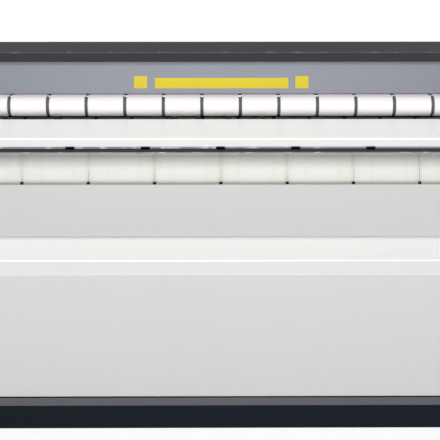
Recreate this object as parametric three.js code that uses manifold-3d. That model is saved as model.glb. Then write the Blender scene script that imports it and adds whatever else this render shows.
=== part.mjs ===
// A flatwork ironer, the laundry machine that dries and presses sheets and tablecloths.
// Linen is laid on the feed belts at the front, is carried round a heated cylinder by wide
// ironing bands, leaves over the exit roller and drops into the tray under the feed shelf.
// Millimetres. +X runs to the right along the rollers, +Y to the rear and +Z up.
// The origin is on the floor, under the middle of the machine.

import * as THREE from "three";
import { mergeVertices } from "three/addons/utils/BufferGeometryUtils.js";
import Module from "manifold-3d";

const wasm = await Module();
wasm.setup();

// ---- Sizes used all over the machine ----
const fit = 0.3; // gap between pieces that sit against each other
const runningGap = 0.3; // least gap round what turns
const stemGap = 0.5; // gap round a stem that slides or turns in its hole
const lap = 1; // how far joined pieces run into each other, and cutters past a face
const skin = 2.5; // folded sheet of the covers, tray and shelf
const shaftSides = 12; // facets round small shafts, stems and their holes
const rollerSides = 18;
const fanSides = 18;

// ---- Outside of the machine ----
const machineDepth = 1150;
const feedHeight = 1034.5; // top of the feed belts
const cabinetWidth = 271; // each end cabinet, along X
const doorDepth = 9.7; // how far a service door stands out of its cabinet
const baseHeight = 75;
const baseSetback = 170; // the foot of the machine stands back under the tray by this
const baseRearSetback = 5;
const baseRail = 60; // width of the base frame's rails, which are channels open below
const baseWall = 5;
const baseInset = 5; // base frame's ends in from the end covers

// ---- Feed belts ----
const beltCount = 13;
const beltPitch = 120;
const beltWidth = 110;
const beltThickness = 2.5;
const beltStep = 30; // degrees to one facet round a feed roller
const feedRollerRadius = 27;
const feedShaftRadius = 12;
const feedSpan = 203.3; // between the two feed rollers' axes
const feedBedDrop = 12; // depth of the bed's folded edges
const feedBedBend = 1;
const feedBedClear = 15; // bed's edge to the roller beside it
const rearFeedClear = 13; // rear feed roller's belts to the bands on the entry roller

// ---- Ironing cylinder and bands ----
const bandCount = 8;
const bandPitch = 213.5;
const bandThickness = 3;
const seamWidth = 3; // groove between two neighbouring bands
const seamDepth = 1.5;
const cylinderRadius = 250;
const cylinderWall = 8;
const cylinderDisc = 12; // end disc's thickness
const cylinderOverhang = 8; // cylinder past the outermost band, each end
const cylinderDrop = 29.5; // top of the cylinder below the feed height
const cylinderSides = 36;
const cylinderStep = 20; // degrees to one facet of a band round the cylinder
const journalRadius = 60;
const journalBore = 45;
const journalReach = 36; // journal past the side frame's outer face
const nipClear = 1.3;
const entryAngle = 115; // where the bands join the cylinder, degrees up from its rear
const exitAngle = 174.4; // where they leave it
const entryRollerRadius = 45;
const exitRollerRadius = 50;
const returnRollerRadius = 35;
const entryStep = 30;
const exitStep = 18;
const returnStep = 45;
const rearRollerInset = 70; // rear rollers' axes in from the rear wall
const rearRunGap = 20; // rear rollers' axes behind the cylinder
const lowerRollerDrop = 35; // lower rollers' axes below the cylinder
const upperRollerDrop = 45; // upper rear roller's axis below the eave
const bandShaftRadius = 15;
const shaftReach = 6; // shafts past the side frame's outer face

// ---- Side frames and cylinder bearings ----
const frameThickness = 10;
const frameClear = 22; // cylinder's end to the side frame
const journalHoleClear = 4;
const bearingRadius = 95;
const bearingDepth = 20;
const bearingNeck = 14; // bearing's neck in from the rim of its flange
const bearingSides = 20;

// ---- Scraper bar ----
const scraperAngle = 155;
const scraperStandoff = 28; // bar's near face off the cylinder
const scraperBar = 24;
const scraperFingerWidth = 30;
const scraperTipGap = 1;

// ---- Hood and finger guard ----
const hoodBack = 51; // hood's front behind the front feed roller's axis
const hoodAboveFeed = 102; // hood's lower front edge above the belts
const hoodFrontHeight = 30.5;
const hoodCrestBack = 235; // crest behind the hood's front
const hoodCrestRise = 9.3;
const hoodInnerBend = 0.5;
const eaveDrop = 4.5; // eave, where the hood meets the rear wall, below the feed height
const eaveFlange = 18;
const guardGap = 3.5; // guard's lower edge above the belts
const guardReach = 12; // guard's lower edge in front of the hood
const guardSheet = 2;
const guardHem = 8;
const guardHingeBack = 17; // hinge behind the hood's front
const guardHingeRise = 11.5; // hinge above the hood's lower edge
const guardTube = 6;
const guardPin = 5;
const guardEndClear = 1;

// ---- Feed shelf, its rail and tabs ----
const shelfGap = 8.7; // shelf's rear edge in front of the belts
const shelfDrop = 65.3; // shelf's rear edge below the belts
const shelfFall = 7.9; // from the shelf's rear to its nose
const shelfLip = 26;
const shelfNose = 5;
const shelfRearFlange = 14;
const lipReturn = 9;
const railDepth = 26;
const railHeight = 12;
const railSetback = 2.5;
const tabCount = 9;
const tabPitch = 217;
const tabWidth = 26;
const tabHeight = 8.8;
const tabRise = 4; // tab above the lip's lower edge
const tabThickness = 1.2;

// ---- Receiving tray and front panel ----
const trayHeight = 598; // tray's floor at the front
const trayRise = 6; // floor's rear edge above its front
const trayFloorDepth = 270;
const trayBackHeight = 137;
const trayBackClear = 10; // back plate's top edge in front of the bands
const trayLip = 41.7;
const trayBend = 4;
const panelFootHeight = 108; // front panel's lower edge
const panelFlange = 15;

// ---- Foot bar ----
const footBarHeight = 25.2;
const footBarDepth = 22;
const footBarGap = 1.3; // over the base frame
const footBarPivotHeight = 185;
const footBarArm = 6;
const footBarArmClear = 4;
const footBarPin = 6;
const footBarArmSetback = 5; // arms behind the bar's front

// ---- Rear cover ----
const louvreColumns = 5;
const louvreRows = 4;
const louvreWidth = 220;
const louvreHeight = 12;
const louvreColumnPitch = 320;
const louvreRowPitch = 45;
const louvreTop = 520;
const coverFlange = 15;

// ---- End covers and service doors ----
const consoleLowerDrop = 62.5; // console's lower edge below the feed height
const consoleUpperRise = 1; // console's upper edge above the hood's lower edge
const doorFrontInset = 25; // door behind the machine's foot
const doorRearInset = 40; // door in front of the rear wall
const doorFootRise = 35; // door above the base frame
const doorTopDrop = 100; // door below the eave
const doorLap = 20; // door over the edge of its opening
const doorSheet = 2;
const barrelRadius = 4;
const barrelLength = 60;
const barrelInset = 90; // barrel's middle from the door's top or bottom
const barrelGap = 0.5;
const knuckleLength = 20;

// ---- Drive ----
const chainPitch = 19.05;
const cylinderTeeth = 36;
const motorTeeth = 12;
const sprocketWidth = 10;
const sprocketOff = 23; // sprockets off the side frame's outer face
const toothTip = 3.7; // tooth's tip outside the pitch circle
const toothRoot = 5.5; // tooth's root inside it
const toothRootShare = 0.3; // half-width of a tooth at its root, as a share of a tooth's turn
const toothTipShare = 0.12;
const chainThickness = 8;
const chainWidth = 16;
const chainStep = 20;
const motorRise = 225; // motor's shaft above the base frame
const motorShaftRadius = 14;
const gearboxSize = 120;
const gearboxDepth = 100;
const gearboxGap = 8; // gearbox behind the sprocket
const gearboxFoot = 2;
const motorRadius = 55;
const motorLength = 200;
const bracketPlate = 10;
const bracketDrop = 58;
const feedMotorRadius = 32;
const feedMotorLength = 116;
const feedMotorBore = 20;
const feedRollerReach = 10; // feed rollers past the outermost belt's pitch
const bandRollerInset = 2; // band rollers in from the cylinder's ends

// ---- Heater bank in the cylinder ----
const heaterTube = 20;
const heaterRods = 6;
const heaterRodRadius = 8;
const heaterRodCircle = 175;
const heaterRodHalf = 800;
const heaterSpider = 188;
const heaterSpiderThickness = 6;
const heaterSpiderOffset = 600; // each side of the middle
const hangerOff = 51; // hanger off the side frame's outer face
const hangerThickness = 8;
const hangerWidth = 40;
const hangerRise = 170;
const hangerBlock = 12;

// ---- Exhaust fan ----
const fanBack = 170; // fan behind and above the cylinder's axis
const fanRise = 115;
const fanRadius = 120;
const fanWall = 5;
const fanOff = 16; // housing off the side frame
const fanDepth = 130;
const fanInletRadius = 57;
const spigotRadius = 60;
const spigotWall = 3;
const spigotRise = 58; // spigot's axis above the fan's
const spigotLength = 35; // behind the rear wall
const impellerRadius = 85;
const impellerWidth = 89;
const impellerDisc = 4;
const bladeCount = 12;
const bladeDepth = 14;
const bladeThickness = 2;
const fanShaftRadius = 8;
const fanShaftReach = 20; // shaft into the fan motor
const fanMotorRadius = 50;
const fanMotorLength = 95;

// ---- Electrics and controls ----
const boxDepth = 180;
const boxLength = 220;
const boxHeight = 450;
const boxInset = 35; // box behind the machine's foot
const boxRise = 175; // box above the base frame
const glandRise = 105; // cable gland above the base frame
const glandRadius = 14;
const glandBore = 6;
const glandNut = 20;
const glandReach = 22;
const switchRise = 545; // main switch above the base frame
const switchStem = 6;
const switchKnob = 24;
const switchReach = 26;
const switchGripInset = 2; // grip in from the rim of the switch
const consolePanelWidth = 200;
const consolePanelLength = 170;
const consolePanelThickness = 5;
const consolePanelGap = 45; // panel's lower edge up the slope from the emergency stop
const buttonRadius = 14;
const buttonHeight = 5;
const buttonStem = 6;
const buttonTravel = 3;
const buttonSpacing = 70;
const buttonDown = 50; // buttons below the panel's middle
const stopUp = 80; // emergency stop up the slope from the console's lower edge
const stopTravel = 5;
const stopStem = 11;
const stopCollarRadius = 28;
const stopCollarHeight = 14;
const stopCollarChamfer = 2.8;
const stopHeadRadius = 20;
const stopHeadHeight = 13;
const stopHeadShoulder = 7.8; // where the head starts to slope in
const stopHeadTop = 12; // radius of its flat top
const stemDepth = 8; // how far a stem reaches under the console's surface

// ---- Places that follow from the sizes ----
const frontY = -machineDepth / 2;
const rearY = machineDepth / 2 - spigotLength;
const bandsHalf = (bandCount * bandPitch) / 2;
const cylinderHalf = bandsHalf + cylinderOverhang;
const frameInner = cylinderHalf + frameClear;
const frameOuter = frameInner + frameThickness;
const betweenFrames = frameInner - fit; // half-width of what spans from frame to frame
const coverInner = frameInner + frameThickness / 2;
const overFrames = coverInner - fit; // half-width of the covers that lap over the frames
const coverOuter = frameOuter + cabinetWidth;
const footY = frontY + baseSetback;
const eaveZ = feedHeight - eaveDrop;
const hoodBottomZ = feedHeight + hoodAboveFeed;
const hoodTopZ = hoodBottomZ + hoodFrontHeight;
const consoleLower = [frontY, feedHeight - consoleLowerDrop];

// ---- Outlines in the plane of Y and Z ----
const radians = THREE.MathUtils.degToRad;

function leftOf(from, to) {
  const length = Math.hypot(to[0] - from[0], to[1] - from[1]);
  return [(from[1] - to[1]) / length, (to[0] - from[0]) / length];
}

// The points moved to the left of the direction in which they run, with mitred corners.
function shifted(points, distance, closed = false) {
  const last = points.length - 1;
  return points.map((point, i) => {
    const before = i > 0 ? points[i - 1] : closed && points[last];
    const after = i < last ? points[i + 1] : closed && points[0];
    const first = leftOf(before || point, before ? point : after);
    const second = leftOf(after ? point : before, after || point);
    const reach = distance / (1 + first[0] * second[0] + first[1] * second[1]);
    return [point[0] + (first[0] + second[0]) * reach, point[1] + (first[1] + second[1]) * reach];
  });
}

// A line with its inner corners bent to a radius.
function bent(points, radius, steps = 3) {
  const line = [points[0]];
  for (let i = 1; i < points.length - 1; i++) {
    const into = leftOf(points[i - 1], points[i]);
    const away = leftOf(points[i], points[i + 1]);
    const turn = Math.atan2(into[0] * away[1] - into[1] * away[0], into[0] * away[0] + into[1] * away[1]);
    const reach = radius * Math.tan(Math.abs(turn) / 2);
    const side = Math.sign(turn) * radius;
    const start = [points[i][0] - into[1] * reach, points[i][1] + into[0] * reach];
    const centre = [start[0] + into[0] * side, start[1] + into[1] * side];
    for (let step = 0; step <= steps; step++) {
      const angle = (turn * step) / steps;
      const across = -side * (into[0] * Math.cos(angle) - into[1] * Math.sin(angle));
      const up = -side * (into[0] * Math.sin(angle) + into[1] * Math.cos(angle));
      line.push([centre[0] + across, centre[1] + up]);
    }
  }
  line.push(points[points.length - 1]);
  return line;
}

function ringOutline(radius, sides, centre = [0, 0]) {
  return Array.from({ length: sides }, (_, i) => {
    const angle = (2 * Math.PI * i) / sides;
    return [centre[0] + radius * Math.cos(angle), centre[1] + radius * Math.sin(angle)];
  });
}

// A hole whose flats all clear a shaft of the given radius.
function holeOutline(radius, centre, gap = fit, sides = shaftSides) {
  return ringOutline((radius + gap) / Math.cos(Math.PI / sides), sides, centre);
}

// The radius at which facets of the given step clear a turning roller.
function wrapRadius(radius, step) {
  return (radius + runningGap) / Math.cos(radians(step / 2));
}

// ---- Solids ----
function across(outline, fromX, toX, holes = []) {
  const flat = (points) => points.map(([y, z]) => new THREE.Vector2(y, z));
  const shape = new THREE.Shape(flat(outline));
  shape.holes = holes.map((hole) => new THREE.Path(flat(hole)));
  const geometry = new THREE.ExtrudeGeometry(shape, { depth: toX - fromX, bevelEnabled: false });
  const alongX = new THREE.Matrix4().makeBasis(
    new THREE.Vector3(0, 1, 0),
    new THREE.Vector3(0, 0, 1),
    new THREE.Vector3(1, 0, 0),
  );
  return geometry.applyMatrix4(alongX).translate(fromX, 0, 0);
}

// The same on one end of the machine: side is 1 on the right and -1 on the left.
function acrossSide(side, outline, near, far, holes = []) {
  return side > 0 ? across(outline, near, far, holes) : across(outline, -far, -near, holes);
}

// Sheet folded along a path, or only along the points of it that run from one to the other.
function folded(path, thickness, halfWidth, from = 0, to = path.length) {
  const inner = shifted(path, thickness);
  const outline = [...path.slice(from, to), ...inner.slice(from, to).reverse()];
  return across(outline, -halfWidth, halfWidth);
}

function block(fromX, toX, fromY, toY, fromZ, toZ) {
  const geometry = new THREE.BoxGeometry(toX - fromX, toY - fromY, toZ - fromZ);
  return geometry.translate((fromX + toX) / 2, (fromY + toY) / 2, (fromZ + toZ) / 2);
}

function blockSide(side, near, far, fromY, toY, fromZ, toZ) {
  const ends = [side * near, side * far].sort((a, b) => a - b);
  return block(ends[0], ends[1], fromY, toY, fromZ, toZ);
}

// A profile of [place along the axis, radius] turned about the Z axis.
function turnedUp(profile, segments) {
  const points = profile.map(([along, radius]) => new THREE.Vector2(radius, along));
  return new THREE.LatheGeometry(points, segments).rotateX(Math.PI / 2);
}

// The same about the X axis.
function turned(profile, segments) {
  return turnedUp(profile, segments).rotateY(Math.PI / 2);
}

function rod(from, to, radius, segments) {
  const profile = [
    [from, 0],
    [from, radius],
    [to, radius],
    [to, 0],
  ];
  return turned(profile, segments);
}

function solidOf(geometry) {
  const bare = geometry.clone();
  bare.deleteAttribute("normal");
  bare.deleteAttribute("uv");
  const merged = mergeVertices(bare, 1e-4);
  const vertProperties = merged.attributes.position.array;
  const triVerts = new Uint32Array(merged.index.array);
  return new wasm.Manifold(new wasm.Mesh({ numProp: 3, vertProperties, triVerts }));
}

function geometryOf(solid) {
  const mesh = solid.getMesh();
  const geometry = new THREE.BufferGeometry();
  geometry.setAttribute("position", new THREE.BufferAttribute(mesh.vertProperties, 3));
  geometry.setIndex(new THREE.BufferAttribute(mesh.triVerts, 1));
  geometry.computeVertexNormals();
  return geometry;
}

function joined(...parts) {
  const solids = parts.map(solidOf);
  return geometryOf(solids.reduce((whole, next) => whole.add(next)));
}

function cut(part, ...cutters) {
  return geometryOf(cutters.reduce((whole, cutter) => whole.subtract(solidOf(cutter)), solidOf(part)));
}

// ---- Belts, bands and chains: endless loops round several wheels ----

// Each wheel is { y, z, radius, turn, step }: radius is the loop's middle line, and turn is 1 for
// a wheel inside the loop and -1 for one outside it. Gives the line's points and inward normals.
function loopRound(wheels) {
  const tangents = wheels.map((wheel, i) => {
    const next = wheels[(i + 1) % wheels.length];
    const [dy, dz] = [next.y - wheel.y, next.z - wheel.z];
    const lean = (next.turn * next.radius - wheel.turn * wheel.radius) / Math.hypot(dy, dz);
    return Math.atan2(dz, dy) + Math.acos(lean);
  });
  return wheels.flatMap((wheel, i) => {
    const from = tangents[(i + wheels.length - 1) % wheels.length];
    const fullTurn = 2 * Math.PI;
    let sweep = (tangents[i] - from) % fullTurn;
    if (wheel.turn > 0 && sweep < 0) sweep += fullTurn;
    if (wheel.turn < 0 && sweep > 0) sweep -= fullTurn;
    const steps = Math.max(1, Math.ceil(Math.abs(sweep) / radians(wheel.step) - 1e-6));
    return Array.from({ length: steps + 1 }, (_, k) => {
      const angle = from + (sweep * k) / steps;
      const [ny, nz] = [Math.cos(angle), Math.sin(angle)];
      const reach = wheel.turn * wheel.radius;
      return { y: wheel.y - ny * reach, z: wheel.z - nz * reach, ny, nz };
    });
  });
}

// A flat section carried round the loop. Section points are [x, height over the inner face].
function swept(section, loop, thickness) {
  const positions = [];
  for (const { y, z, ny, nz } of loop)
    for (const [x, height] of section) {
      const inward = thickness / 2 - height;
      positions.push(x, y + ny * inward, z + nz * inward);
    }
  const faces = [];
  const wide = section.length;
  for (let i = 0; i < loop.length; i++)
    for (let j = 0; j < wide; j++) {
      const [a, b] = [i * wide + j, i * wide + ((j + 1) % wide)];
      const ahead = ((i + 1) % loop.length) * wide;
      const [c, d] = [ahead + j, ahead + ((j + 1) % wide)];
      faces.push(a, d, b, a, c, d);
    }
  const geometry = new THREE.BufferGeometry();
  geometry.setAttribute("position", new THREE.Float32BufferAttribute(positions, 3));
  geometry.setIndex(faces);
  geometry.computeVertexNormals();
  return geometry;
}

function plainBand(fromX, toX, loop, thickness) {
  const section = [
    [fromX, 0],
    [fromX, thickness],
    [toX, thickness],
    [toX, 0],
  ];
  return swept(section, loop, thickness);
}

// ---- Where the cylinder and the rollers lie ----
const rearRollerY = rearY - rearRollerInset;
const cylinder = {
  y: rearRollerY - rearRunGap - cylinderRadius,
  z: feedHeight - cylinderDrop - cylinderRadius,
};
const bandMiddle = (radius, step) => wrapRadius(radius, step) + bandThickness / 2;

// A point given by its angle round the cylinder and its distances out from and along its surface.
function offCylinder(angle, out, along = 0) {
  const [cosine, sine] = [Math.cos(radians(angle)), Math.sin(radians(angle))];
  const reach = cylinderRadius + out;
  return [cylinder.y + reach * cosine - along * sine, cylinder.z + reach * sine + along * cosine];
}

function nipRoller(angle, radius, step) {
  const middles = bandMiddle(cylinderRadius, cylinderStep) + bandMiddle(radius, step);
  const [y, z] = offCylinder(angle, middles + nipClear - cylinderRadius);
  return { y, z, radius, step };
}

const entryRoller = nipRoller(entryAngle, entryRollerRadius, entryStep);
const exitRoller = nipRoller(exitAngle, exitRollerRadius, exitStep);
const returnMiddle = bandMiddle(returnRollerRadius, returnStep);
const bandFrontY = exitRoller.y - bandMiddle(exitRollerRadius, exitStep) - bandThickness / 2;
const lowerZ = cylinder.z - cylinderRadius - lowerRollerDrop;
const returnRoller = (y, z) => ({ y, z, radius: returnRollerRadius, step: returnStep });
const lowerFrontRoller = returnRoller(bandFrontY + bandThickness / 2 + returnMiddle, lowerZ);
const lowerRearRoller = returnRoller(rearRollerY, lowerZ);
const upperRearRoller = returnRoller(rearRollerY, eaveZ - upperRollerDrop);

const beltInner = wrapRadius(feedRollerRadius, beltStep);
const beltOuter = beltInner + beltThickness;
const feedZ = feedHeight - beltOuter;
const entryFrontY = entryRoller.y - bandMiddle(entryRollerRadius, entryStep) - bandThickness / 2;
const rearFeedRoller = { y: entryFrontY - rearFeedClear - beltOuter, z: feedZ };
const frontFeedRoller = { y: rearFeedRoller.y - feedSpan, z: feedZ };

const hoodFrontY = frontFeedRoller.y + hoodBack;
const consoleUpper = [hoodFrontY, hoodBottomZ + consoleUpperRise];
const guardHinge = { y: hoodFrontY + guardHingeBack, z: hoodBottomZ + guardHingeRise };
const footBarPivot = { y: footY + footBarDepth / 2, z: footBarPivotHeight };
const footBarHalf = frameInner - footBarArmClear;
const footBarInner = footBarHalf - footBarArm; // half-width between the foot bar's arms
const motor = { y: cylinder.y, z: baseHeight + motorRise };
const fan = { y: cylinder.y + fanBack, z: cylinder.z + fanRise };

// ---- Ends of the machine ----
const endProfile = [
  [footY, baseHeight + fit],
  [rearY, baseHeight + fit],
  [rearY, eaveZ],
  [hoodFrontY + hoodCrestBack, hoodTopZ + hoodCrestRise],
  [hoodFrontY, hoodTopZ],
  consoleUpper,
  consoleLower,
  [frontY, trayHeight - trayLip],
  [footY, panelFootHeight],
];

// The end profile drawn in by a distance, with its foot left at the given height.
function innerProfile(distance, footZ) {
  const drawnIn = shifted(endProfile, distance, true);
  return drawnIn.map(([y, z], i) => (i < 2 ? [y, footZ] : [y, z]));
}

function sideFrame(side) {
  const shafts = [entryRoller, exitRoller, lowerFrontRoller, lowerRearRoller, upperRearRoller];
  const holes = [
    holeOutline(journalRadius, [cylinder.y, cylinder.z], journalHoleClear, bearingSides),
    ...shafts.map(({ y, z }) => holeOutline(bandShaftRadius, [y, z])),
    holeOutline(feedShaftRadius, [frontFeedRoller.y, frontFeedRoller.z]),
    holeOutline(feedShaftRadius, [rearFeedRoller.y, rearFeedRoller.z]),
    holeOutline(guardPin, [guardHinge.y, guardHinge.z]),
    holeOutline(footBarPin, [footBarPivot.y, footBarPivot.z]),
  ];
  if (side > 0) holes.push(ringOutline(fanInletRadius, fanSides, [fan.y, fan.z]));
  return acrossSide(side, innerProfile(skin + fit, baseHeight + fit), frameInner, frameOuter, holes);
}

const consoleTilt = Math.atan2(consoleUpper[1] - consoleLower[1], consoleUpper[0] - consoleLower[0]);
const consolePanelUp = stopUp + consolePanelGap + consolePanelLength / 2;

// A frame on an end cabinet's sloped console: X across, Y up the slope and Z out of it.
function consoleFrame(side) {
  const frame = new THREE.Group();
  const middleX = side * ((coverInner + coverOuter) / 2);
  frame.position.set(middleX, ...consoleLower);
  frame.rotation.x = consoleTilt;
  frame.updateMatrix();
  return frame;
}

function consoleHole(side, x, up, radius) {
  const hole = across(holeOutline(radius, [0, 0], stemGap), -stemDepth, stemDepth + skin);
  return hole.rotateY(-Math.PI / 2).translate(x, up, 0).applyMatrix4(consoleFrame(side).matrix);
}

function rearHole(x, z, radius, gap) {
  const hole = across(holeOutline(radius, [0, 0], gap), -2 * skin, 2 * skin);
  return hole.rotateZ(Math.PI / 2).translate(x, rearY, z);
}

const doorFront = footY + doorFrontInset;
const doorRear = rearY - doorRearInset;
const doorBottom = baseHeight + doorFootRise;
const doorTop = eaveZ - doorTopDrop;
const doorOpening = {
  front: doorFront + doorLap,
  rear: doorRear - doorLap,
  bottom: doorBottom + doorLap,
  top: doorTop - doorLap,
};
const barrelHeights = [doorBottom + barrelInset, doorTop - barrelInset];
const doorInner = coverOuter + fit;
const doorOuter = doorInner + doorDepth;
const barrel = { x: doorOuter - barrelRadius, y: doorRear + barrelRadius + fit };

// A length of the hinge barrel, with its axis upright.
function barrelPiece(side, low, high) {
  const profile = [
    [low, 0],
    [low, barrelRadius],
    [high, barrelRadius],
    [high, 0],
  ];
  return turnedUp(profile, shaftSides).translate(side * barrel.x, barrel.y, 0);
}

function endCover(side) {
  const wall = coverOuter - skin;
  const shell = cut(
    acrossSide(side, endProfile, coverInner, coverOuter),
    acrossSide(side, innerProfile(skin, 0), coverInner - lap, wall),
  );
  const { front, rear, bottom, top } = doorOpening;
  const opening = blockSide(side, wall - lap, coverOuter + lap, front, rear, bottom, top);
  const cutters = [opening, consoleHole(side, 0, stopUp, stopStem)];
  if (side > 0)
    cutters.push(
      consoleHole(side, -buttonSpacing / 2, consolePanelUp - buttonDown, buttonStem),
      consoleHole(side, buttonSpacing / 2, consolePanelUp - buttonDown, buttonStem),
      rearHole(spigotX, fan.z + spigotRise, spigotRadius, fit),
      rearHole(servicesX, glandZ, glandRadius, fit),
      rearHole(servicesX, switchZ, switchStem, stemGap),
    );
  const knuckles = barrelHeights.flatMap((height) =>
    [-1, 1].flatMap((end) => {
      const middle = height + end * (barrelLength / 2 + barrelGap + knuckleLength / 2);
      const [low, high] = [middle - knuckleLength / 2, middle + knuckleLength / 2];
      const [webFront, webRear] = [barrel.y - barrelRadius / 2, barrel.y + barrelRadius / 2];
      const web = blockSide(side, coverOuter - skin / 2, barrel.x, webFront, webRear, low, high);
      return [barrelPiece(side, low, high), web];
    }),
  );
  return joined(cut(shell, ...cutters), ...knuckles);
}

function serviceDoor(side) {
  const panel = blockSide(side, doorInner, doorOuter, doorFront, doorRear, doorBottom, doorTop);
  const recess = blockSide(
    side,
    doorInner - lap,
    doorOuter - doorSheet,
    doorFront + doorSheet,
    doorRear - doorSheet,
    doorBottom + doorSheet,
    doorTop - doorSheet,
  );
  const barrels = barrelHeights.flatMap((height) => {
    const [low, high] = [height - barrelLength / 2, height + barrelLength / 2];
    const web = blockSide(side, barrel.x, doorOuter, doorRear - lap, barrel.y, low, high);
    return [barrelPiece(side, low, high), web];
  });
  return joined(cut(panel, recess), ...barrels);
}

// ---- Frames and covers ----
function baseFrame() {
  const half = coverOuter - baseInset;
  const rear = rearY - baseRearSetback;
  const innerBay = frameInner - baseRail / 2;
  const [bayFront, bayRear] = [footY + baseRail, rear - baseRail];
  const [grooveFront, grooveRear] = [footY + baseWall, rear - baseWall];
  const rails = [-half, -innerBay - baseRail, innerBay, half - baseRail];
  const cutters = [];
  for (const [i, rail] of rails.entries()) {
    const end = rail + baseRail;
    if (i + 1 < rails.length) cutters.push(block(end, rails[i + 1], bayFront, bayRear, -lap, baseHeight + lap));
    const [from, to] = [rail + baseWall, end - baseWall];
    cutters.push(block(from, to, grooveFront, grooveRear, -lap, baseHeight - baseWall));
  }
  for (const front of [footY, rear - baseRail]) {
    const [from, to] = [front + baseWall, front + baseRail - baseWall];
    cutters.push(block(baseWall - half, half - baseWall, from, to, -lap, baseHeight - baseWall));
  }
  return cut(block(-half, half, footY, rear, 0, baseHeight), ...cutters);
}

function hood() {
  const path = [
    [rearY, eaveZ - eaveFlange],
    [rearY, eaveZ],
    [hoodFrontY + hoodCrestBack, hoodTopZ + hoodCrestRise],
    [hoodFrontY, hoodTopZ],
    [hoodFrontY, hoodBottomZ],
  ];
  return folded(bent(path, skin + hoodInnerBend), skin, overFrames);
}

function rearCover() {
  const [bottom, top] = [baseHeight + fit, eaveZ - eaveFlange - fit];
  const path = [
    [rearY - coverFlange, bottom],
    [rearY, bottom],
    [rearY, top],
    [rearY - coverFlange, top],
  ];
  const slots = [];
  for (let column = 0; column < louvreColumns; column++)
    for (let row = 0; row < louvreRows; row++) {
      const x = (column - (louvreColumns - 1) / 2) * louvreColumnPitch;
      const z = louvreTop - row * louvreRowPitch;
      const [left, right] = [x - louvreWidth / 2, x + louvreWidth / 2];
      slots.push(block(left, right, rearY - 2 * skin, rearY + skin, z - louvreHeight, z));
    }
  const sheet = joined(folded(path, skin, overFrames, 1, 3), folded(path, skin, betweenFrames));
  return cut(sheet, ...slots);
}

function receivingTray() {
  const floorRear = frontY + trayFloorDepth;
  const path = [
    [bandFrontY - trayBackClear, trayHeight + trayRise + trayBackHeight],
    [floorRear, trayHeight + trayRise],
    [frontY, trayHeight],
    [frontY, trayHeight - trayLip],
  ];
  return folded(bent(path, trayBend), skin, betweenFrames);
}

function frontPanel() {
  const top = trayHeight - trayLip - fit;
  const path = [
    [frontY + panelFlange, top],
    [frontY, top],
    [footY, panelFootHeight],
    [footY + panelFlange, panelFootHeight],
  ];
  return joined(
    folded(path, skin, overFrames, 1, 3),
    folded(path, skin, betweenFrames, 0, 3),
    folded(path, skin, footBarInner - footBarArmClear, 1, 4),
  );
}

// ---- Feeding ----
function feedShelf() {
  const rear = frontFeedRoller.y - beltOuter - shelfGap;
  const rearZ = feedHeight - shelfDrop;
  const path = [
    [rear, rearZ - shelfRearFlange],
    [rear, rearZ],
    [shelfFrontY, rearZ - shelfFall],
    [shelfFrontY, lipBottomZ],
    [shelfFrontY + lipReturn, lipBottomZ],
  ];
  return folded(bent(path, shelfNose), skin, betweenFrames);
}

const shelfFrontY = frontY + tabThickness + fit;
const lipBottomZ = feedHeight - shelfDrop - shelfFall - shelfLip;

function shelfRail() {
  const railFront = shelfFrontY + railSetback;
  const railTop = lipBottomZ - fit;
  const rail = block(
    -betweenFrames,
    betweenFrames,
    railFront,
    railFront + railDepth,
    railTop - railHeight,
    railTop,
  );
  const tabs = [];
  for (let i = 0; i < tabCount; i++) {
    const x = (i - (tabCount - 1) / 2) * tabPitch;
    const [left, right] = [x - tabWidth / 2, x + tabWidth / 2];
    const top = lipBottomZ + tabRise;
    const bottom = top - tabHeight;
    tabs.push(block(left, right, frontY, frontY + tabThickness, bottom, top));
    tabs.push(block(left, right, frontY, railFront + lap, bottom, railTop));
  }
  return joined(rail, ...tabs);
}

function feedBed() {
  const top = feedHeight - beltThickness - fit;
  const front = frontFeedRoller.y + feedRollerRadius + feedBedClear;
  const rear = rearFeedRoller.y - feedRollerRadius - feedBedClear;
  const path = [
    [rear, top - feedBedDrop],
    [rear, top],
    [front, top],
    [front, top - feedBedDrop],
  ];
  return folded(bent(path, skin + feedBedBend), skin, betweenFrames);
}

function feedBelt(index) {
  const x = (index - (beltCount - 1) / 2) * beltPitch;
  const middle = beltInner + beltThickness / 2;
  const wheel = ({ y, z }) => ({ y, z, radius: middle, turn: 1, step: beltStep });
  const loop = loopRound([frontFeedRoller, rearFeedRoller].map(wheel));
  return plainBand(x - beltWidth / 2, x + beltWidth / 2, loop, beltThickness);
}

function roller(radius, shaftRadius, halfLength, leftReach = 0) {
  const shaftEnd = frameOuter + shaftReach;
  const profile = [
    [-shaftEnd - leftReach, 0],
    [-shaftEnd - leftReach, shaftRadius],
    [-halfLength, shaftRadius],
    [-halfLength, radius],
    [halfLength, radius],
    [halfLength, shaftRadius],
    [shaftEnd, shaftRadius],
    [shaftEnd, 0],
  ];
  return turned(profile, rollerSides);
}

const feedRollerHalf = (beltCount * beltPitch) / 2 + feedRollerReach;
const feedRoller = (reach) => roller(feedRollerRadius, feedShaftRadius, feedRollerHalf, reach);
const bandRoller = (radius) => roller(radius, bandShaftRadius, cylinderHalf - bandRollerInset);

function fingerGuard() {
  const bottom = feedHeight + guardGap;
  const path = [
    [guardHinge.y - guardTube / 2, guardHinge.z - guardTube / 2],
    [hoodFrontY - guardReach, bottom],
    [hoodFrontY - guardReach + guardHem, bottom],
  ];
  const half = betweenFrames - guardEndClear;
  const tube = rod(-half, half, guardTube, shaftSides).translate(0, guardHinge.y, guardHinge.z);
  const pinEnd = frameInner + frameThickness / 2;
  const pin = rod(-pinEnd, pinEnd, guardPin, shaftSides).translate(0, guardHinge.y, guardHinge.z);
  return joined(folded(path, guardSheet, half), tube, pin);
}

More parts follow.
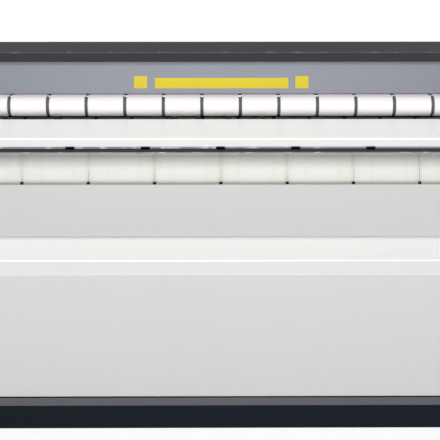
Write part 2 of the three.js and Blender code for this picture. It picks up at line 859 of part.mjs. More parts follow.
// ---- Ironing ----
function cylinderDrum() {
  const journalEnd = frameOuter + journalReach;
  const discInner = cylinderHalf - cylinderDisc;
  const shellInner = cylinderRadius - cylinderWall;
  const half = [
    [cylinderHalf, cylinderRadius],
    [cylinderHalf, journalRadius],
    [journalEnd, journalRadius],
    [journalEnd, journalBore],
    [discInner, journalBore],
    [discInner, shellInner],
  ];
  const mirrored = half.map(([along, radius]) => [-along, radius]).reverse();
  return turned([...half, ...mirrored, half[0]], cylinderSides);
}

function ironingBands() {
  const wheels = [
    { ...upperRearRoller, turn: 1 },
    { ...entryRoller, turn: 1 },
    { ...cylinder, radius: cylinderRadius, step: cylinderStep, turn: -1 },
    { ...exitRoller, turn: 1 },
    { ...lowerFrontRoller, turn: 1 },
    { ...lowerRearRoller, turn: 1 },
  ].map((wheel) => ({ ...wheel, radius: bandMiddle(wheel.radius, wheel.step) }));
  const section = [[-bandsHalf, 0]];
  section.push([-bandsHalf, bandThickness]);
  for (let seam = 1; seam < bandCount; seam++) {
    const x = seam * bandPitch - bandsHalf;
    section.push([x - seamWidth / 2, bandThickness]);
    section.push([x, bandThickness - seamDepth]);
    section.push([x + seamWidth / 2, bandThickness]);
  }
  section.push([bandsHalf, bandThickness]);
  section.push([bandsHalf, 0]);
  return swept(section, loopRound(wheels), bandThickness);
}

function scraper() {
  const half = scraperBar / 2;
  const corner = (out, along) => offCylinder(scraperAngle, out, along);
  const bar = [
    corner(scraperStandoff, -half),
    corner(scraperStandoff + scraperBar, -half),
    corner(scraperStandoff + scraperBar, half),
    corner(scraperStandoff, half),
  ];
  const finger = [
    corner(scraperTipGap, -half),
    corner(scraperStandoff + lap, -half),
    corner(scraperStandoff + lap, half / 2),
  ];
  const fingers = Array.from({ length: bandCount }, (_, i) => {
    const x = (i - (bandCount - 1) / 2) * bandPitch;
    return across(finger, x - scraperFingerWidth / 2, x + scraperFingerWidth / 2);
  });
  return joined(across(bar, -betweenFrames, betweenFrames), ...fingers);
}

function cylinderBearing(side) {
  const bore = (journalRadius + runningGap) / Math.cos(Math.PI / bearingSides);
  const [near, far] = [frameOuter + fit, frameOuter + bearingDepth];
  const [middle, neck] = [(near + far) / 2, bearingRadius - bearingNeck];
  const profile = [
    [near, bore],
    [near, bearingRadius],
    [middle, bearingRadius],
    [middle, neck],
    [far, neck],
    [far, bore],
    [near, bore],
  ];
  const ring = turned(profile, bearingSides);
  return side > 0 ? ring : ring.rotateZ(Math.PI);
}

function heaterBank() {
  const end = frameOuter + hangerOff + hangerThickness;
  const pieces = [rod(-end, end, heaterTube, shaftSides)];
  for (let i = 0; i < heaterRods; i++) {
    const [y, z] = ringOutline(heaterRodCircle, heaterRods)[i];
    pieces.push(rod(-heaterRodHalf, heaterRodHalf, heaterRodRadius, 6).translate(0, y, z));
  }
  for (const offset of [-heaterSpiderOffset, heaterSpiderOffset]) {
    const [from, to] = [offset - heaterSpiderThickness / 2, offset + heaterSpiderThickness / 2];
    pieces.push(rod(from, to, heaterSpider, shaftSides));
  }
  for (const side of [-1, 1]) {
    const near = frameOuter + hangerOff;
    const far = near + hangerThickness;
    const wide = hangerWidth / 2;
    pieces.push(blockSide(side, near, far, -wide, wide, 0, hangerRise));
    pieces.push(blockSide(side, frameOuter + fit, far, -wide, wide, hangerRise - hangerBlock, hangerRise));
  }
  return joined(...pieces);
}

// ---- Drive ----
function sprocketPitchRadius(teeth) {
  return chainPitch / (2 * Math.sin(Math.PI / teeth));
}

function sprocketOutline(teeth) {
  const radius = sprocketPitchRadius(teeth);
  const outline = [];
  for (let tooth = 0; tooth < teeth; tooth++)
    for (const [share, reach] of [
      [-toothRootShare, -toothRoot],
      [-toothTipShare, toothTip],
      [toothTipShare, toothTip],
      [toothRootShare, -toothRoot],
    ]) {
      const angle = ((tooth + share) * 2 * Math.PI) / teeth;
      outline.push([(radius + reach) * Math.cos(angle), (radius + reach) * Math.sin(angle)]);
    }
  return outline;
}

const sprocketFar = -frameOuter - sprocketOff - sprocketWidth;
const sprocketNear = -frameOuter - sprocketOff;

function cylinderSprocket() {
  const bore = holeOutline(journalRadius, [0, 0], fit, bearingSides);
  return across(sprocketOutline(cylinderTeeth), sprocketFar, sprocketNear, [bore]);
}

function motorSprocket() {
  const disc = across(sprocketOutline(motorTeeth), sprocketFar, sprocketNear);
  const shaft = rod(sprocketFar - gearboxDepth / 2, sprocketNear + lap, motorShaftRadius, shaftSides);
  return joined(disc, shaft);
}

function driveChain() {
  const wheel = ({ y, z }, teeth) => {
    const inner = wrapRadius(sprocketPitchRadius(teeth) + toothTip, chainStep);
    return { y, z, radius: inner + chainThickness / 2, turn: 1, step: chainStep };
  };
  const loop = loopRound([wheel(cylinder, cylinderTeeth), wheel(motor, motorTeeth)]);
  const middle = (sprocketFar + sprocketNear) / 2;
  return plainBand(middle - chainWidth / 2, middle + chainWidth / 2, loop, chainThickness);
}

function gearMotor() {
  const half = gearboxSize / 2;
  const near = sprocketFar - gearboxGap;
  const far = near - gearboxDepth;
  const floor = -half - gearboxFoot;
  const gearbox = block(far, near, -half, half, floor, half);
  const bore = (motorShaftRadius + runningGap) / Math.cos(Math.PI / shaftSides);
  const socket = rod(near - gearboxDepth / 2 - bracketPlate, near + lap, bore, shaftSides);
  const tube = rod(0, motorLength, motorRadius, rollerSides).rotateZ(-Math.PI / 2);
  const motorTube = tube.translate((near + far) / 2, lap - half, 0);
  const frameSide = -frameOuter - fit;
  const shelf = block(far, frameSide, -half, half, floor - bracketPlate, floor);
  const flangeFar = frameSide - bracketPlate;
  const flange = block(flangeFar, frameSide, -half, half, floor - bracketDrop, floor - lap);
  return cut(joined(gearbox, motorTube, shelf, flange), socket);
}

function feedMotor() {
  const near = -frameOuter - fit;
  const far = near - feedMotorLength;
  const bore = (feedShaftRadius + runningGap) / Math.cos(Math.PI / rollerSides);
  const profile = [
    [far, 0],
    [far, feedMotorRadius],
    [near, feedMotorRadius],
    [near, bore],
    [near - feedMotorBore, bore],
    [near - feedMotorBore, 0],
  ];
  return turned(profile, rollerSides);
}

// ---- Exhaust fan ----
const fanNear = frameOuter + fanOff;
const fanFar = fanNear + fanDepth;
const spigotX = (fanNear + fanFar) / 2;
const servicesX = (coverInner + coverOuter) / 2;
const glandZ = baseHeight + glandRise;
const switchZ = baseHeight + switchRise;
const impellerBack = fanFar - fanWall - fanOff;

function fanHousing() {
  const alongY = (from, to, radius) =>
    rod(from, to, radius, fanSides).rotateZ(Math.PI / 2).translate(spigotX, 0, spigotRise);
  const spigotEnd = rearY + spigotLength - fan.y;
  const body = joined(
    rod(fanNear, fanFar, fanRadius, fanSides),
    rod(frameOuter + fit, fanNear + lap, fanInletRadius + fanWall, fanSides),
    alongY(0, spigotEnd, spigotRadius),
  );
  return cut(
    body,
    rod(fanNear + fanWall, fanFar - fanWall, fanRadius - fanWall, fanSides),
    rod(frameOuter - lap, fanNear + fanWall + lap, fanInletRadius, fanSides),
    alongY(0, spigotEnd + lap, spigotRadius - spigotWall),
    rod(fanFar - fanWall - lap, fanFar + lap, fanShaftRadius + 2 * stemGap, shaftSides),
  );
}

function fanImpeller() {
  const front = impellerBack - impellerWidth;
  const ringProfile = [
    [front, impellerRadius - bladeDepth],
    [front, impellerRadius],
    [front + impellerDisc, impellerRadius],
    [front + impellerDisc, impellerRadius - bladeDepth],
    [front, impellerRadius - bladeDepth],
  ];
  const blades = Array.from({ length: bladeCount }, (_, i) => {
    const [inner, outer] = [impellerRadius - bladeDepth + lap, impellerRadius - lap];
    const half = bladeThickness / 2;
    const blade = block(front + lap, impellerBack - lap, inner, outer, -half, half);
    return blade.rotateX((2 * Math.PI * i) / bladeCount);
  });
  return joined(
    rod(impellerBack - impellerDisc, impellerBack, impellerRadius, fanSides),
    turned(ringProfile, fanSides),
    rod(impellerBack - lap, fanFar + fanShaftReach, fanShaftRadius, shaftSides),
    ...blades,
  );
}

function fanMotor() {
  const near = fanFar + fit;
  const bore = (fanShaftRadius + runningGap) / Math.cos(Math.PI / rollerSides);
  const end = near + fanShaftReach + lap;
  const profile = [
    [end, 0],
    [end, bore],
    [near, bore],
    [near, fanMotorRadius],
    [near + fanMotorLength, fanMotorRadius],
    [near + fanMotorLength, 0],
  ];
  return turned(profile, rollerSides);
}

// ---- Foot bar, electrics and controls ----
function footBar() {
  const bottom = baseHeight + footBarGap;
  const top = bottom + footBarHeight;
  const rear = footY + footBarDepth;
  const pieces = [block(-footBarHalf, footBarHalf, footY, rear, bottom, top)];
  for (const side of [-1, 1]) {
    const armTop = footBarPivot.z + 2 * footBarPin;
    const armFront = footY + footBarArmSetback;
    pieces.push(blockSide(side, footBarInner, footBarHalf, armFront, rear, bottom + lap, armTop));
    const ends = [side * footBarInner, side * coverInner].sort((a, b) => a - b);
    pieces.push(rod(ends[0], ends[1], footBarPin, shaftSides).translate(0, footBarPivot.y, footBarPivot.z));
  }
  return joined(...pieces);
}

function electricalBox() {
  const [near, front, bottom] = [frameOuter + fit, footY + boxInset, baseHeight + boxRise];
  return block(near, near + boxDepth, front, front + boxLength, bottom, bottom + boxHeight);
}

// A cable gland through the rear wall, drawn with its bore along Y.
function cableGland() {
  const inside = -skin - glandReach;
  const profile = [
    [inside, glandBore],
    [inside, glandRadius],
    [fit, glandRadius],
    [fit, glandNut],
    [glandReach, glandNut],
    [glandReach, glandBore],
    [inside, glandBore],
  ];
  return turned(profile, shaftSides).rotateZ(Math.PI / 2);
}

function mainSwitch() {
  const stem = rod(-stemDepth - skin, fit + lap, switchStem, shaftSides);
  const base = rod(fit, switchReach / 2, switchKnob, rollerSides);
  const half = switchStem;
  const gripHalf = switchKnob - switchGripInset;
  const grip = block(switchReach / 2 - lap, switchReach, -half, half, -gripHalf, gripHalf);
  return joined(stem, base, grip).rotateZ(Math.PI / 2);
}

function controlPanel() {
  const [wide, long] = [consolePanelWidth / 2, consolePanelLength / 2];
  const plate = block(-wide, wide, -long, long, fit, fit + consolePanelThickness);
  const holes = [-1, 1].map((end) => {
    const hole = across(holeOutline(buttonStem, [0, 0], stemGap), -lap, fit + consolePanelThickness + lap);
    return hole.rotateY(-Math.PI / 2).translate((end * buttonSpacing) / 2, -buttonDown, 0);
  });
  return cut(plate, ...holes);
}

function pushButton() {
  const capBottom = fit + consolePanelThickness + buttonTravel + stemGap;
  const capTop = capBottom + buttonHeight;
  const profile = [
    [-stemDepth, 0],
    [-stemDepth, buttonStem],
    [capBottom, buttonStem],
    [capBottom, buttonRadius],
    [capTop, buttonRadius],
    [capTop, 0],
  ];
  return turnedUp(profile, shaftSides);
}

function stopCollar() {
  const bore = (stopStem + stemGap) / Math.cos(Math.PI / rollerSides);
  const shoulder = stopCollarRadius - stopCollarChamfer;
  const profile = [
    [fit, bore],
    [fit, stopCollarRadius],
    [stopCollarHeight - stopCollarChamfer, stopCollarRadius],
    [stopCollarHeight, shoulder],
    [stopCollarHeight, bore],
    [fit, bore],
  ];
  return turnedUp(profile, rollerSides);
}

function stopHead() {
  const bottom = stopCollarHeight + stopTravel + stemGap;
  const profile = [
    [-stemDepth, 0],
    [-stemDepth, stopStem],
    [bottom, stopStem],
    [bottom, stopHeadRadius],
    [bottom + stopHeadShoulder, stopHeadRadius],
    [bottom + stopHeadHeight, stopHeadTop],
    [bottom + stopHeadHeight, 0],
  ];
  return turnedUp(profile, rollerSides);
}

// ---- Finishes ----
const finishes = {
  charcoalPaint: { color: 0x57565e, roughness: 0.5, metalness: 0 },
  whitePaint: { color: 0xf0f1ec, roughness: 0.4, metalness: 0 },
  greyGuard: { color: 0x9a9eaa, roughness: 0.45, metalness: 0 },
  plinthPaint: { color: 0x141c28, roughness: 0.5, metalness: 0 },
  footGrey: { color: 0x5c5c60, roughness: 0.45, metalness: 0 },
  whiteBelt: { color: 0xf2f0ee, roughness: 0.8, metalness: 0 },
  bandFelt: { color: 0xe2e2da, roughness: 0.9, metalness: 0 },
  steel: { color: 0xa8abb0, roughness: 0.35, metalness: 1 },
  polishedSteel: { color: 0xc6c8cc, roughness: 0.15, metalness: 1 },
  castIron: { color: 0x3a3d40, roughness: 0.6, metalness: 0.6 },
  blackPlastic: { color: 0x101012, roughness: 0.5, metalness: 0 },
  motorPaint: { color: 0x2f4a66, roughness: 0.5, metalness: 0 },
  panelGrey: { color: 0xc9ccce, roughness: 0.5, metalness: 0 },
  green: { color: 0x1f8a3c, roughness: 0.4, metalness: 0 },
  red: { color: 0xc01818, roughness: 0.4, metalness: 0 },
  yellow: { color: 0xe8c41c, roughness: 0.45, metalness: 0 },
};

// ---- The machine ----
const machine = new THREE.Group();

function add(name, geometry, finish, place = {}, parent = machine) {
  const mesh = new THREE.Mesh(geometry, new THREE.MeshStandardMaterial(finishes[finish]));
  mesh.name = name;
  mesh.position.set(place.x ?? 0, place.y ?? 0, place.z ?? 0);
  parent.add(mesh);
}

add("base_frame", baseFrame(), "plinthPaint");
for (const [end, side] of [
  ["left", -1],
  ["right", 1],
]) {
  add(`side_frame_${end}`, sideFrame(side), "panelGrey");
  add(`end_cover_${end}`, endCover(side), "charcoalPaint");
  add(`service_door_${end}`, serviceDoor(side), "charcoalPaint");
  add(`cylinder_bearing_${end}`, cylinderBearing(side), "castIron", cylinder);
  const slope = consoleFrame(side);
  machine.add(slope);
  const stopPlace = { y: stopUp };
  add(`stop_collar_${end}`, stopCollar(), "yellow", stopPlace, slope);
  add(`emergency_stop_${end}`, stopHead(), "red", stopPlace, slope);
  if (side < 0) continue;
  const buttonY = consolePanelUp - buttonDown;
  add("control_panel", controlPanel(), "panelGrey", { y: consolePanelUp }, slope);
  add("start_button", pushButton(), "green", { x: -buttonSpacing / 2, y: buttonY }, slope);
  add("stop_button", pushButton(), "red", { x: buttonSpacing / 2, y: buttonY }, slope);
}

add("hood", hood(), "charcoalPaint");
add("rear_cover", rearCover(), "charcoalPaint");
add("front_panel", frontPanel(), "whitePaint");
add("receiving_tray", receivingTray(), "whitePaint");
add("feed_shelf", feedShelf(), "whitePaint");
add("shelf_rail", shelfRail(), "blackPlastic");
add("finger_guard", fingerGuard(), "greyGuard");
add("foot_bar", footBar(), "footGrey");

add("feed_bed", feedBed(), "steel");
add("front_feed_roller", feedRoller(), "steel", frontFeedRoller);
add("rear_feed_roller", feedRoller(feedMotorBore - shaftReach), "steel", rearFeedRoller);
for (let i = 0; i < beltCount; i++)
  add(`feed_belt_${String(i + 1).padStart(2, "0")}`, feedBelt(i), "whiteBelt");
add("feed_motor", feedMotor(), "motorPaint", rearFeedRoller);

add("cylinder", cylinderDrum(), "polishedSteel", cylinder);
add("ironing_bands", ironingBands(), "bandFelt");
add("entry_roller", bandRoller(entryRollerRadius), "steel", entryRoller);
add("exit_roller", bandRoller(exitRollerRadius), "steel", exitRoller);
add("lower_front_roller", bandRoller(returnRollerRadius), "steel", lowerFrontRoller);
add("lower_rear_roller", bandRoller(returnRollerRadius), "steel", lowerRearRoller);
add("upper_rear_roller", bandRoller(returnRollerRadius), "steel", upperRearRoller);
add("scraper_bar", scraper(), "steel");
add("heater_bank", heaterBank(), "steel", cylinder);

add("cylinder_sprocket", cylinderSprocket(), "castIron", cylinder);
add("motor_sprocket", motorSprocket(), "castIron", motor);
add("drive_chain", driveChain(), "castIron");
add("gear_motor", gearMotor(), "motorPaint", motor);

add("fan_housing", fanHousing(), "steel", fan);
add("fan_impeller", fanImpeller(), "steel", fan);
add("fan_motor", fanMotor(), "motorPaint", fan);
add("electrical_box", electricalBox(), "panelGrey");
add("cable_gland", cableGland(), "blackPlastic", { x: servicesX, y: rearY, z: glandZ });
add("main_switch", mainSwitch(), "red", { x: servicesX, y: rearY, z: switchZ });

export default machine;
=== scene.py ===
import math

import bmesh
import bpy
from mathutils import Matrix, Vector


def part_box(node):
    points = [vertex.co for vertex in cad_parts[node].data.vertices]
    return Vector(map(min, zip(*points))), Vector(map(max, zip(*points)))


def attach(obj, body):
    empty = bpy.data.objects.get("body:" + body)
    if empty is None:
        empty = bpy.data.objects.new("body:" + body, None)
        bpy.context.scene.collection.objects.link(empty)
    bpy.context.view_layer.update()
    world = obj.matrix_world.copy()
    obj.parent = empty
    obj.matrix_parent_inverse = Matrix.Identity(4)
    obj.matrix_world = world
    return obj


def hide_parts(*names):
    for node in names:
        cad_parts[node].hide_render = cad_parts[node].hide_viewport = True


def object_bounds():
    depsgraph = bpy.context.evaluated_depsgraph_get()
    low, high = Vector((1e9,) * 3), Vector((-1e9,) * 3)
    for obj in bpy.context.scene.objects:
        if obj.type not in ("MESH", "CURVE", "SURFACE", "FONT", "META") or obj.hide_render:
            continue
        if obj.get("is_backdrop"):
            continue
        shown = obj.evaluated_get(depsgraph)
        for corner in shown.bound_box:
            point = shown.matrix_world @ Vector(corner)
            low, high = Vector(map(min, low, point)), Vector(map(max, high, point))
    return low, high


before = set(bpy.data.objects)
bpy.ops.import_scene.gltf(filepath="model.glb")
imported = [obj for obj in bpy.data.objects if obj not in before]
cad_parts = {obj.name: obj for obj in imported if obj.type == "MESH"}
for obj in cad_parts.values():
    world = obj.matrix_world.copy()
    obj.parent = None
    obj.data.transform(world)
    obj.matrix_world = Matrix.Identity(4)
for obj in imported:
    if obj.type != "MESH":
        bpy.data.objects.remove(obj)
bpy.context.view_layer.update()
scene = bpy.context.scene
mm = 0.001  # sizes below are in millimetres, meshes are in metres
print("frame loaded:", len(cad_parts), "nodes")

# The camera stands where the photograph was taken from
cameraLook = {"place": (-0.028, -4.255, 1.6), "down": 13.447, "aside": -0.35, "lens": 105.97, "sensor": 36}


def makeCamera(look):
    lens = bpy.data.cameras.new("camera")
    lens.lens = look["lens"]
    lens.sensor_width = look["sensor"]
    lens.sensor_fit = "HORIZONTAL"
    lens.clip_start, lens.clip_end = 0.1, 200
    camera = bpy.data.objects.new("camera", lens)
    camera.location = look["place"]
    camera.rotation_euler = (math.radians(90 - look["down"]), 0, math.radians(look["aside"]))
    scene.collection.objects.link(camera)
    scene.camera = camera


makeCamera(cameraLook)
print("camera set")


# Node trees are written as sums
def operator(operation, reflected=False):  # a method that adds a Math node
    def work(wire, other=0.0):
        return wire.net.maths(operation, other, wire) if reflected else wire.net.maths(operation, wire, other)

    return work


class Wire:  # one output socket of a tree, which Python's operators take further
    def __init__(self, net, made, socket):
        self.net, self.made, self.socket = net, made, socket

    def out(self, name):
        return Wire(self.net, self.made, self.made.outputs[name])

    __add__, __radd__ = operator("ADD"), operator("ADD", True)
    __sub__, __rsub__ = operator("SUBTRACT"), operator("SUBTRACT", True)
    __mul__, __rmul__ = operator("MULTIPLY"), operator("MULTIPLY", True)
    __truediv__, __rtruediv__ = operator("DIVIDE"), operator("DIVIDE", True)
    __pow__, __mod__ = operator("POWER"), operator("FLOORED_MODULO")
    __gt__, __lt__ = operator("GREATER_THAN"), operator("LESS_THAN")
    __abs__, sine = operator("ABSOLUTE"), operator("SINE")


class Net:  # a node tree being written
    def __init__(self, tree):
        self.tree = tree

    def node(self, kind, settings=None, values=None, output=0):
        made = self.tree.nodes.new(kind)
        for key, value in (settings or {}).items():
            setattr(made, key, value)
        for key, value in (values or {}).items():
            self.feed(made.inputs[key], value)
        return Wire(self, made, made.outputs[output])

    def feed(self, socket, value):
        if isinstance(value, Wire):
            self.tree.links.new(value.socket, socket)
        else:
            socket.default_value = value

    def maths(self, operation, first, second=0.0):
        return self.node("ShaderNodeMath", {"operation": operation}, {0: first, 1: second})

    def split(self, vector):
        apart = self.node("ShaderNodeSeparateXYZ", None, {0: vector})
        return apart.out("X"), apart.out("Y"), apart.out("Z")

    def spread(self, value, low, high, fromLow, fromHigh):  # from a range of values, clamped, to low..high
        ends = {"From Min": fromLow, "From Max": fromHigh, "To Min": low, "To Max": high}
        return self.node("ShaderNodeMapRange", {"clamp": True}, {"Value": value, **ends})


def tone(red, green, blue):  # a colour as it looks on the screen, 0 to 255, in linear light
    shares = [c / 255 for c in (red, green, blue)]
    return tuple(((c + 0.055) / 1.055) ** 2.4 if c > 0.04 else c / 12.92 for c in shares) + (1.0,)


class Finish(Net):  # a material round one Principled shader
    def __init__(self, name, look, fixed):
        self.material = bpy.data.materials.new(name)
        self.material.use_nodes = True
        super().__init__(self.material.node_tree)
        self.tree.nodes.clear()
        self.shader = self.node("ShaderNodeBsdfPrincipled").made
        surface = self.tree.nodes.new("ShaderNodeOutputMaterial").inputs["Surface"]
        self.tree.links.new(self.shader.outputs[0], surface)
        self.place = self.node("ShaderNodeTexCoord").out("Object")
        self.colour = tone(*look["colour"])
        for key, value in fixed.items():
            self.shader.inputs[key].default_value = value

    def set(self, socket, value):
        self.feed(self.shader.inputs[socket], value)

    def own(self, share):  # the finish's own colour, darker or lighter
        return tuple(min(1.0, c * share) for c in self.colour[:3]) + (1.0,)

    def noise(self, scale, detail, stretch=None, where=None, roughness=0.5):  # scale in turns per metre
        where = where or self.place
        if stretch:
            where = self.node("ShaderNodeMapping", None, {"Vector": where, "Scale": stretch})
        values = {"Vector": where, "Scale": scale, "Detail": detail, "Roughness": roughness}
        return self.node("ShaderNodeTexNoise", None, values)

    def tint(self, share, first, second):
        return self.node("ShaderNodeMix", {"data_type": "RGBA"}, {0: share, 6: first, 7: second}, 2)

    def rim(self):  # 1 on bends and softened edges, 0 elsewhere
        return self.node("ShaderNodeAttribute", {"attribute_name": "rim"}).out("Fac")

    def rise(self):  # 1 where the surface faces up, -1 where it faces down
        return self.split(self.node("ShaderNodeTexCoord").out("Normal"))[2]

    def along(self):  # a belt's own UV map in metres: the place, then how far across and along the loop
        flat = self.node("ShaderNodeUVMap", {"uv_map": "along"})
        side, run, _ = self.split(flat)
        return flat, side, run

    def relief(self, *layers):  # (height, strength, distance) one on another, the finest last
        under = None
        for height, strength, distance in layers:
            values = {"Height": height, "Strength": strength, "Distance": distance}
            if under:
                values["Normal"] = under
            under = self.node("ShaderNodeBump", None, values)
        self.set("Normal", under)


# Finishes: each has its settings by name, with colours as they look on the screen
def powderCoat(name, look):
    net = Finish(name, look, {"Specular IOR Level": look.get("shine", 0.5)})
    cloud = net.noise(2.2, 4)
    peel = net.noise(look.get("peelScale", 520), 2)
    grit = net.noise(1900, 1)
    scuff = net.spread(net.noise(38, 5), 0, 1, 0.52, 0.72)
    base = net.tint(cloud, net.own(1 - look["drift"]), net.own(1 + look["drift"]))
    base = net.tint(net.spread(grit, 0, look.get("grit", 0.12), 0.45, 0.75), base, net.own(1.25))
    if "top" in look:  # what faces up gets another shade: painted light, lighter on the white paint and darker on the charcoal
        base = net.tint(net.spread(net.rise(), 0, 1, 0.25, 0.87), base, tone(*look["top"]))
    if "under" in look:  # what faces down gets a darker shade: painted shade, which also keeps bounced light off the bands below
        base = net.tint(net.spread(net.rise(), 1, 0, -0.97, -0.7), base, tone(*look["under"]))
    # rims and bends lighter: a painted highlight along the edges, with some edge wear where the scuff noise
    # is high
    base = net.tint(net.rim() * (0.35 + scuff * 0.65) * look["edgeWearAndHighlight"], base, tone(*look["edge"]))
    net.set("Base Color", base)
    net.set("Roughness", look["roughness"] + (cloud - 0.5) * 0.1 + (peel - 0.5) * 0.12)
    net.relief((peel, look["peel"], 0.0006), (grit, look["peel"] * 0.5, 0.0002))
    return net.material


def brushedSteel(name, look):  # sheet or bar, with its grain along one way
    net = Finish(name, look, {"Specular IOR Level": 0.5})
    grain = net.noise(look["grainScale"], 3, look["grain"])
    streak = net.noise(look["grainScale"] * 0.22, 3, look["grain"])
    cloud = net.noise(5, 4)
    base = net.tint(grain, net.own(0.86), net.own(1.08))
    base = net.tint(net.spread(cloud, 0, look["stain"], 0.5, 0.8), base, net.own(0.62))
    # rims lighter: a painted highlight along the edges
    net.set("Base Color", net.tint(net.rim() * 0.4, base, net.own(1.2)))
    net.set("Metallic", 1.0 - net.spread(cloud, 0, 0.12, 0.5, 0.9))
    uneven = (grain - 0.5) * 0.18 + (streak - 0.5) * 0.12 + (cloud - 0.5) * 0.1
    net.set("Roughness", look["roughness"] + uneven)
    net.relief((streak, 0.12, 0.0004), (grain, 0.18, 0.0002))
    return net.material


def castMetal(name, look):
    net = Finish(name, look, {"Specular IOR Level": 0.4})
    lump = net.noise(85, 3)
    grain = net.noise(620, 3)
    oil = net.spread(net.noise(9, 4), 0, 1, 0.48, 0.7)
    base = net.tint(lump, net.own(0.75), net.own(1.2))
    base = net.tint(oil * 0.45, base, net.own(0.45))
    # lighter, more metallic rims: edge wear and a painted highlight along the edges
    net.set("Base Color", net.tint(net.rim() * look["edgeWearAndHighlight"], base, tone(*look["edge"])))
    net.set("Metallic", look["metal"] + net.rim() * 0.3)
    net.set("Roughness", look["roughness"] - oil * 0.18 + (grain - 0.5) * 0.2)
    net.relief((lump, 0.35, 0.0012), (grain, 0.3, 0.0004))
    return net.material


def mouldedPlastic(name, look):
    net = Finish(name, look, {"Specular IOR Level": look.get("shine", 0.5), "Coat Roughness": 0.25})
    cloud = net.noise(14, 3)
    leather = net.noise(900, 2)
    base = net.tint(cloud, net.own(0.94), net.own(1.06))
    # rims lighter: a painted highlight along the edges
    net.set("Base Color", net.tint(net.rim() * 0.25, base, net.own(1.35)))
    net.set("Roughness", look["roughness"] + (leather - 0.5) * 0.15 + (cloud - 0.5) * 0.08)
    net.set("Coat Weight", look.get("coat", 0.0) * (0.8 + cloud * 0.4))
    net.relief((cloud, 0.05, 0.0006), (leather, look.get("texture", 0.25), 0.0003))
    return net.material


def needleFelt(name, look):  # the ironing bands' aramid felt
    net = Finish(name, look, {"Specular IOR Level": 0.06, "Sheen Weight": 0.04, "Sheen Roughness": 0.6})
    flat, side, run = net.along()
    fibre = net.noise(700, 4, (1, 0.16, 1), flat, 0.7)
    nap = net.noise(240, 4, (0.35, 1, 1), flat, 0.65)
    patch = net.noise(4, 3, (2.2, 0.5, 1), flat)
    stripe = net.noise(26, 1, (1, 0.002, 1), flat)  # pressed lines that run with the band
    base = net.tint(nap, net.own(0.965), net.own(1.03))
    base = net.tint(net.spread(patch, 0, look["scorch"], 0.48, 0.8), base, tone(*look["scorchShade"]))
    base = net.tint(net.spread(stripe, 0, 0.1, 0.56, 0.66), base, net.own(0.72))
    hem = net.spread(abs(side), 0, 1, look["half"] - look["hem"], look["half"] - look["hem"] * 0.75)
    fromSeam = abs(abs(side) - look["half"] + look["hem"])
    stitch = (run * look["stitches"] % 1 < 0.62) * net.spread(fromSeam, 1, 0, 0.0004, 0.0011)
    base = net.tint(hem * 0.3, base, net.own(0.86))
    net.set("Base Color", net.tint(stitch * 0.5, base, tone(*look["threadShade"])))
    net.set("Roughness", 0.9 + (fibre - 0.5) * 0.12)
    net.relief((nap, 0.25, 0.0012), (hem, 0.3, 0.0006), (fibre, 0.4, 0.0004), (stitch, 0.5, 0.0005))
    return net.material


def wovenBelt(name, look):  # the feed belts' plain weave
    net = Finish(name, look, {"Specular IOR Level": 0.25, "Sheen Weight": 0.2, "Sheen Roughness": 0.5})
    flat, side, run = net.along()
    turns = math.pi / look["thread"]
    warp, weft = (side * turns).sine(), (run * turns).sine()
    over = warp * weft > 0
    thread = over * abs(warp) + (1 - over) * abs(weft)
    fuzz = net.noise(1500, 3, (1, 0.5, 1), flat)
    soil = net.spread(net.noise(7, 4, (2, 0.6, 1), flat), 0, look["soil"], 0.45, 0.8)
    # the up-facing run gets a pinkish tint: painted shade for the run that lies under the guard
    upward = net.spread(net.rise(), 0, look["paintedTopTint"], 0.84, 0.98)
    edge = net.spread(abs(side), 0, 1, look["half"] - 0.004, look["half"] - 0.001)
    base = net.tint(thread, net.own(0.9), net.own(1.04))
    base = net.tint(soil, base, tone(*look["soilShade"]))
    base = net.tint(upward, base, tone(*look["paintedTopTintShade"]))
    net.set("Base Color", net.tint(edge * 0.35, base, net.own(0.8)))
    net.set("Roughness", 0.82 + (fuzz - 0.5) * 0.2)
    net.relief((thread, 0.35, 0.0005), (fuzz, 0.35, 0.0002))
    return net.material


coats = {
    "white_paint": {
        "colour": (187, 187, 186), "roughness": 0.38, "drift": 0.018, "peel": 0.1, "grit": 0.03, "edgeWearAndHighlight": 0.2,
        "edge": (252, 252, 250), "top": (250, 250, 248), "under": (178, 179, 180),
    },
    "charcoal_paint": {
        "colour": (50, 49, 54), "roughness": 0.64, "shine": 0.04, "drift": 0.07, "peel": 0.3, "edgeWearAndHighlight": 0.55,
        "edge": (135, 130, 138), "top": (44, 43, 48),
    },
    "guard_grey": {
        "colour": (97, 101, 110), "roughness": 0.4, "drift": 0.03, "peel": 0.14, "edgeWearAndHighlight": 0.4,
        "edge": (176, 180, 190),
    },
    "plinth_paint": {
        "colour": (8, 15, 24), "roughness": 0.5, "shine": 0.1, "drift": 0.12, "peel": 0.3, "edgeWearAndHighlight": 0.5,
        "edge": (48, 56, 68),
    },
    "foot_grey": {
        "colour": (66, 66, 70), "roughness": 0.42, "drift": 0.05, "peel": 0.2, "edgeWearAndHighlight": 0.7,
        "edge": (128, 128, 131),
    },
    "frame_grey": {
        "colour": (196, 199, 201), "roughness": 0.5, "drift": 0.06, "peel": 0.25, "edgeWearAndHighlight": 0.5,
        "edge": (222, 224, 226),
    },
    "box_grey": {
        "colour": (202, 204, 204), "roughness": 0.45, "drift": 0.04, "peel": 0.3, "edgeWearAndHighlight": 0.5,
        "edge": (226, 228, 228),
    },
    "motor_paint": {
        "colour": (44, 70, 101), "roughness": 0.42, "drift": 0.1, "peel": 0.35, "peelScale": 260, "edgeWearAndHighlight": 0.6,
        "edge": (92, 116, 142),
    },
    "rail_grey": {
        "colour": (38, 38, 41), "roughness": 0.5, "shine": 0.1, "drift": 0.06, "peel": 0.1, "edgeWearAndHighlight": 0.9,
        "edge": (200, 200, 202),
    },
}
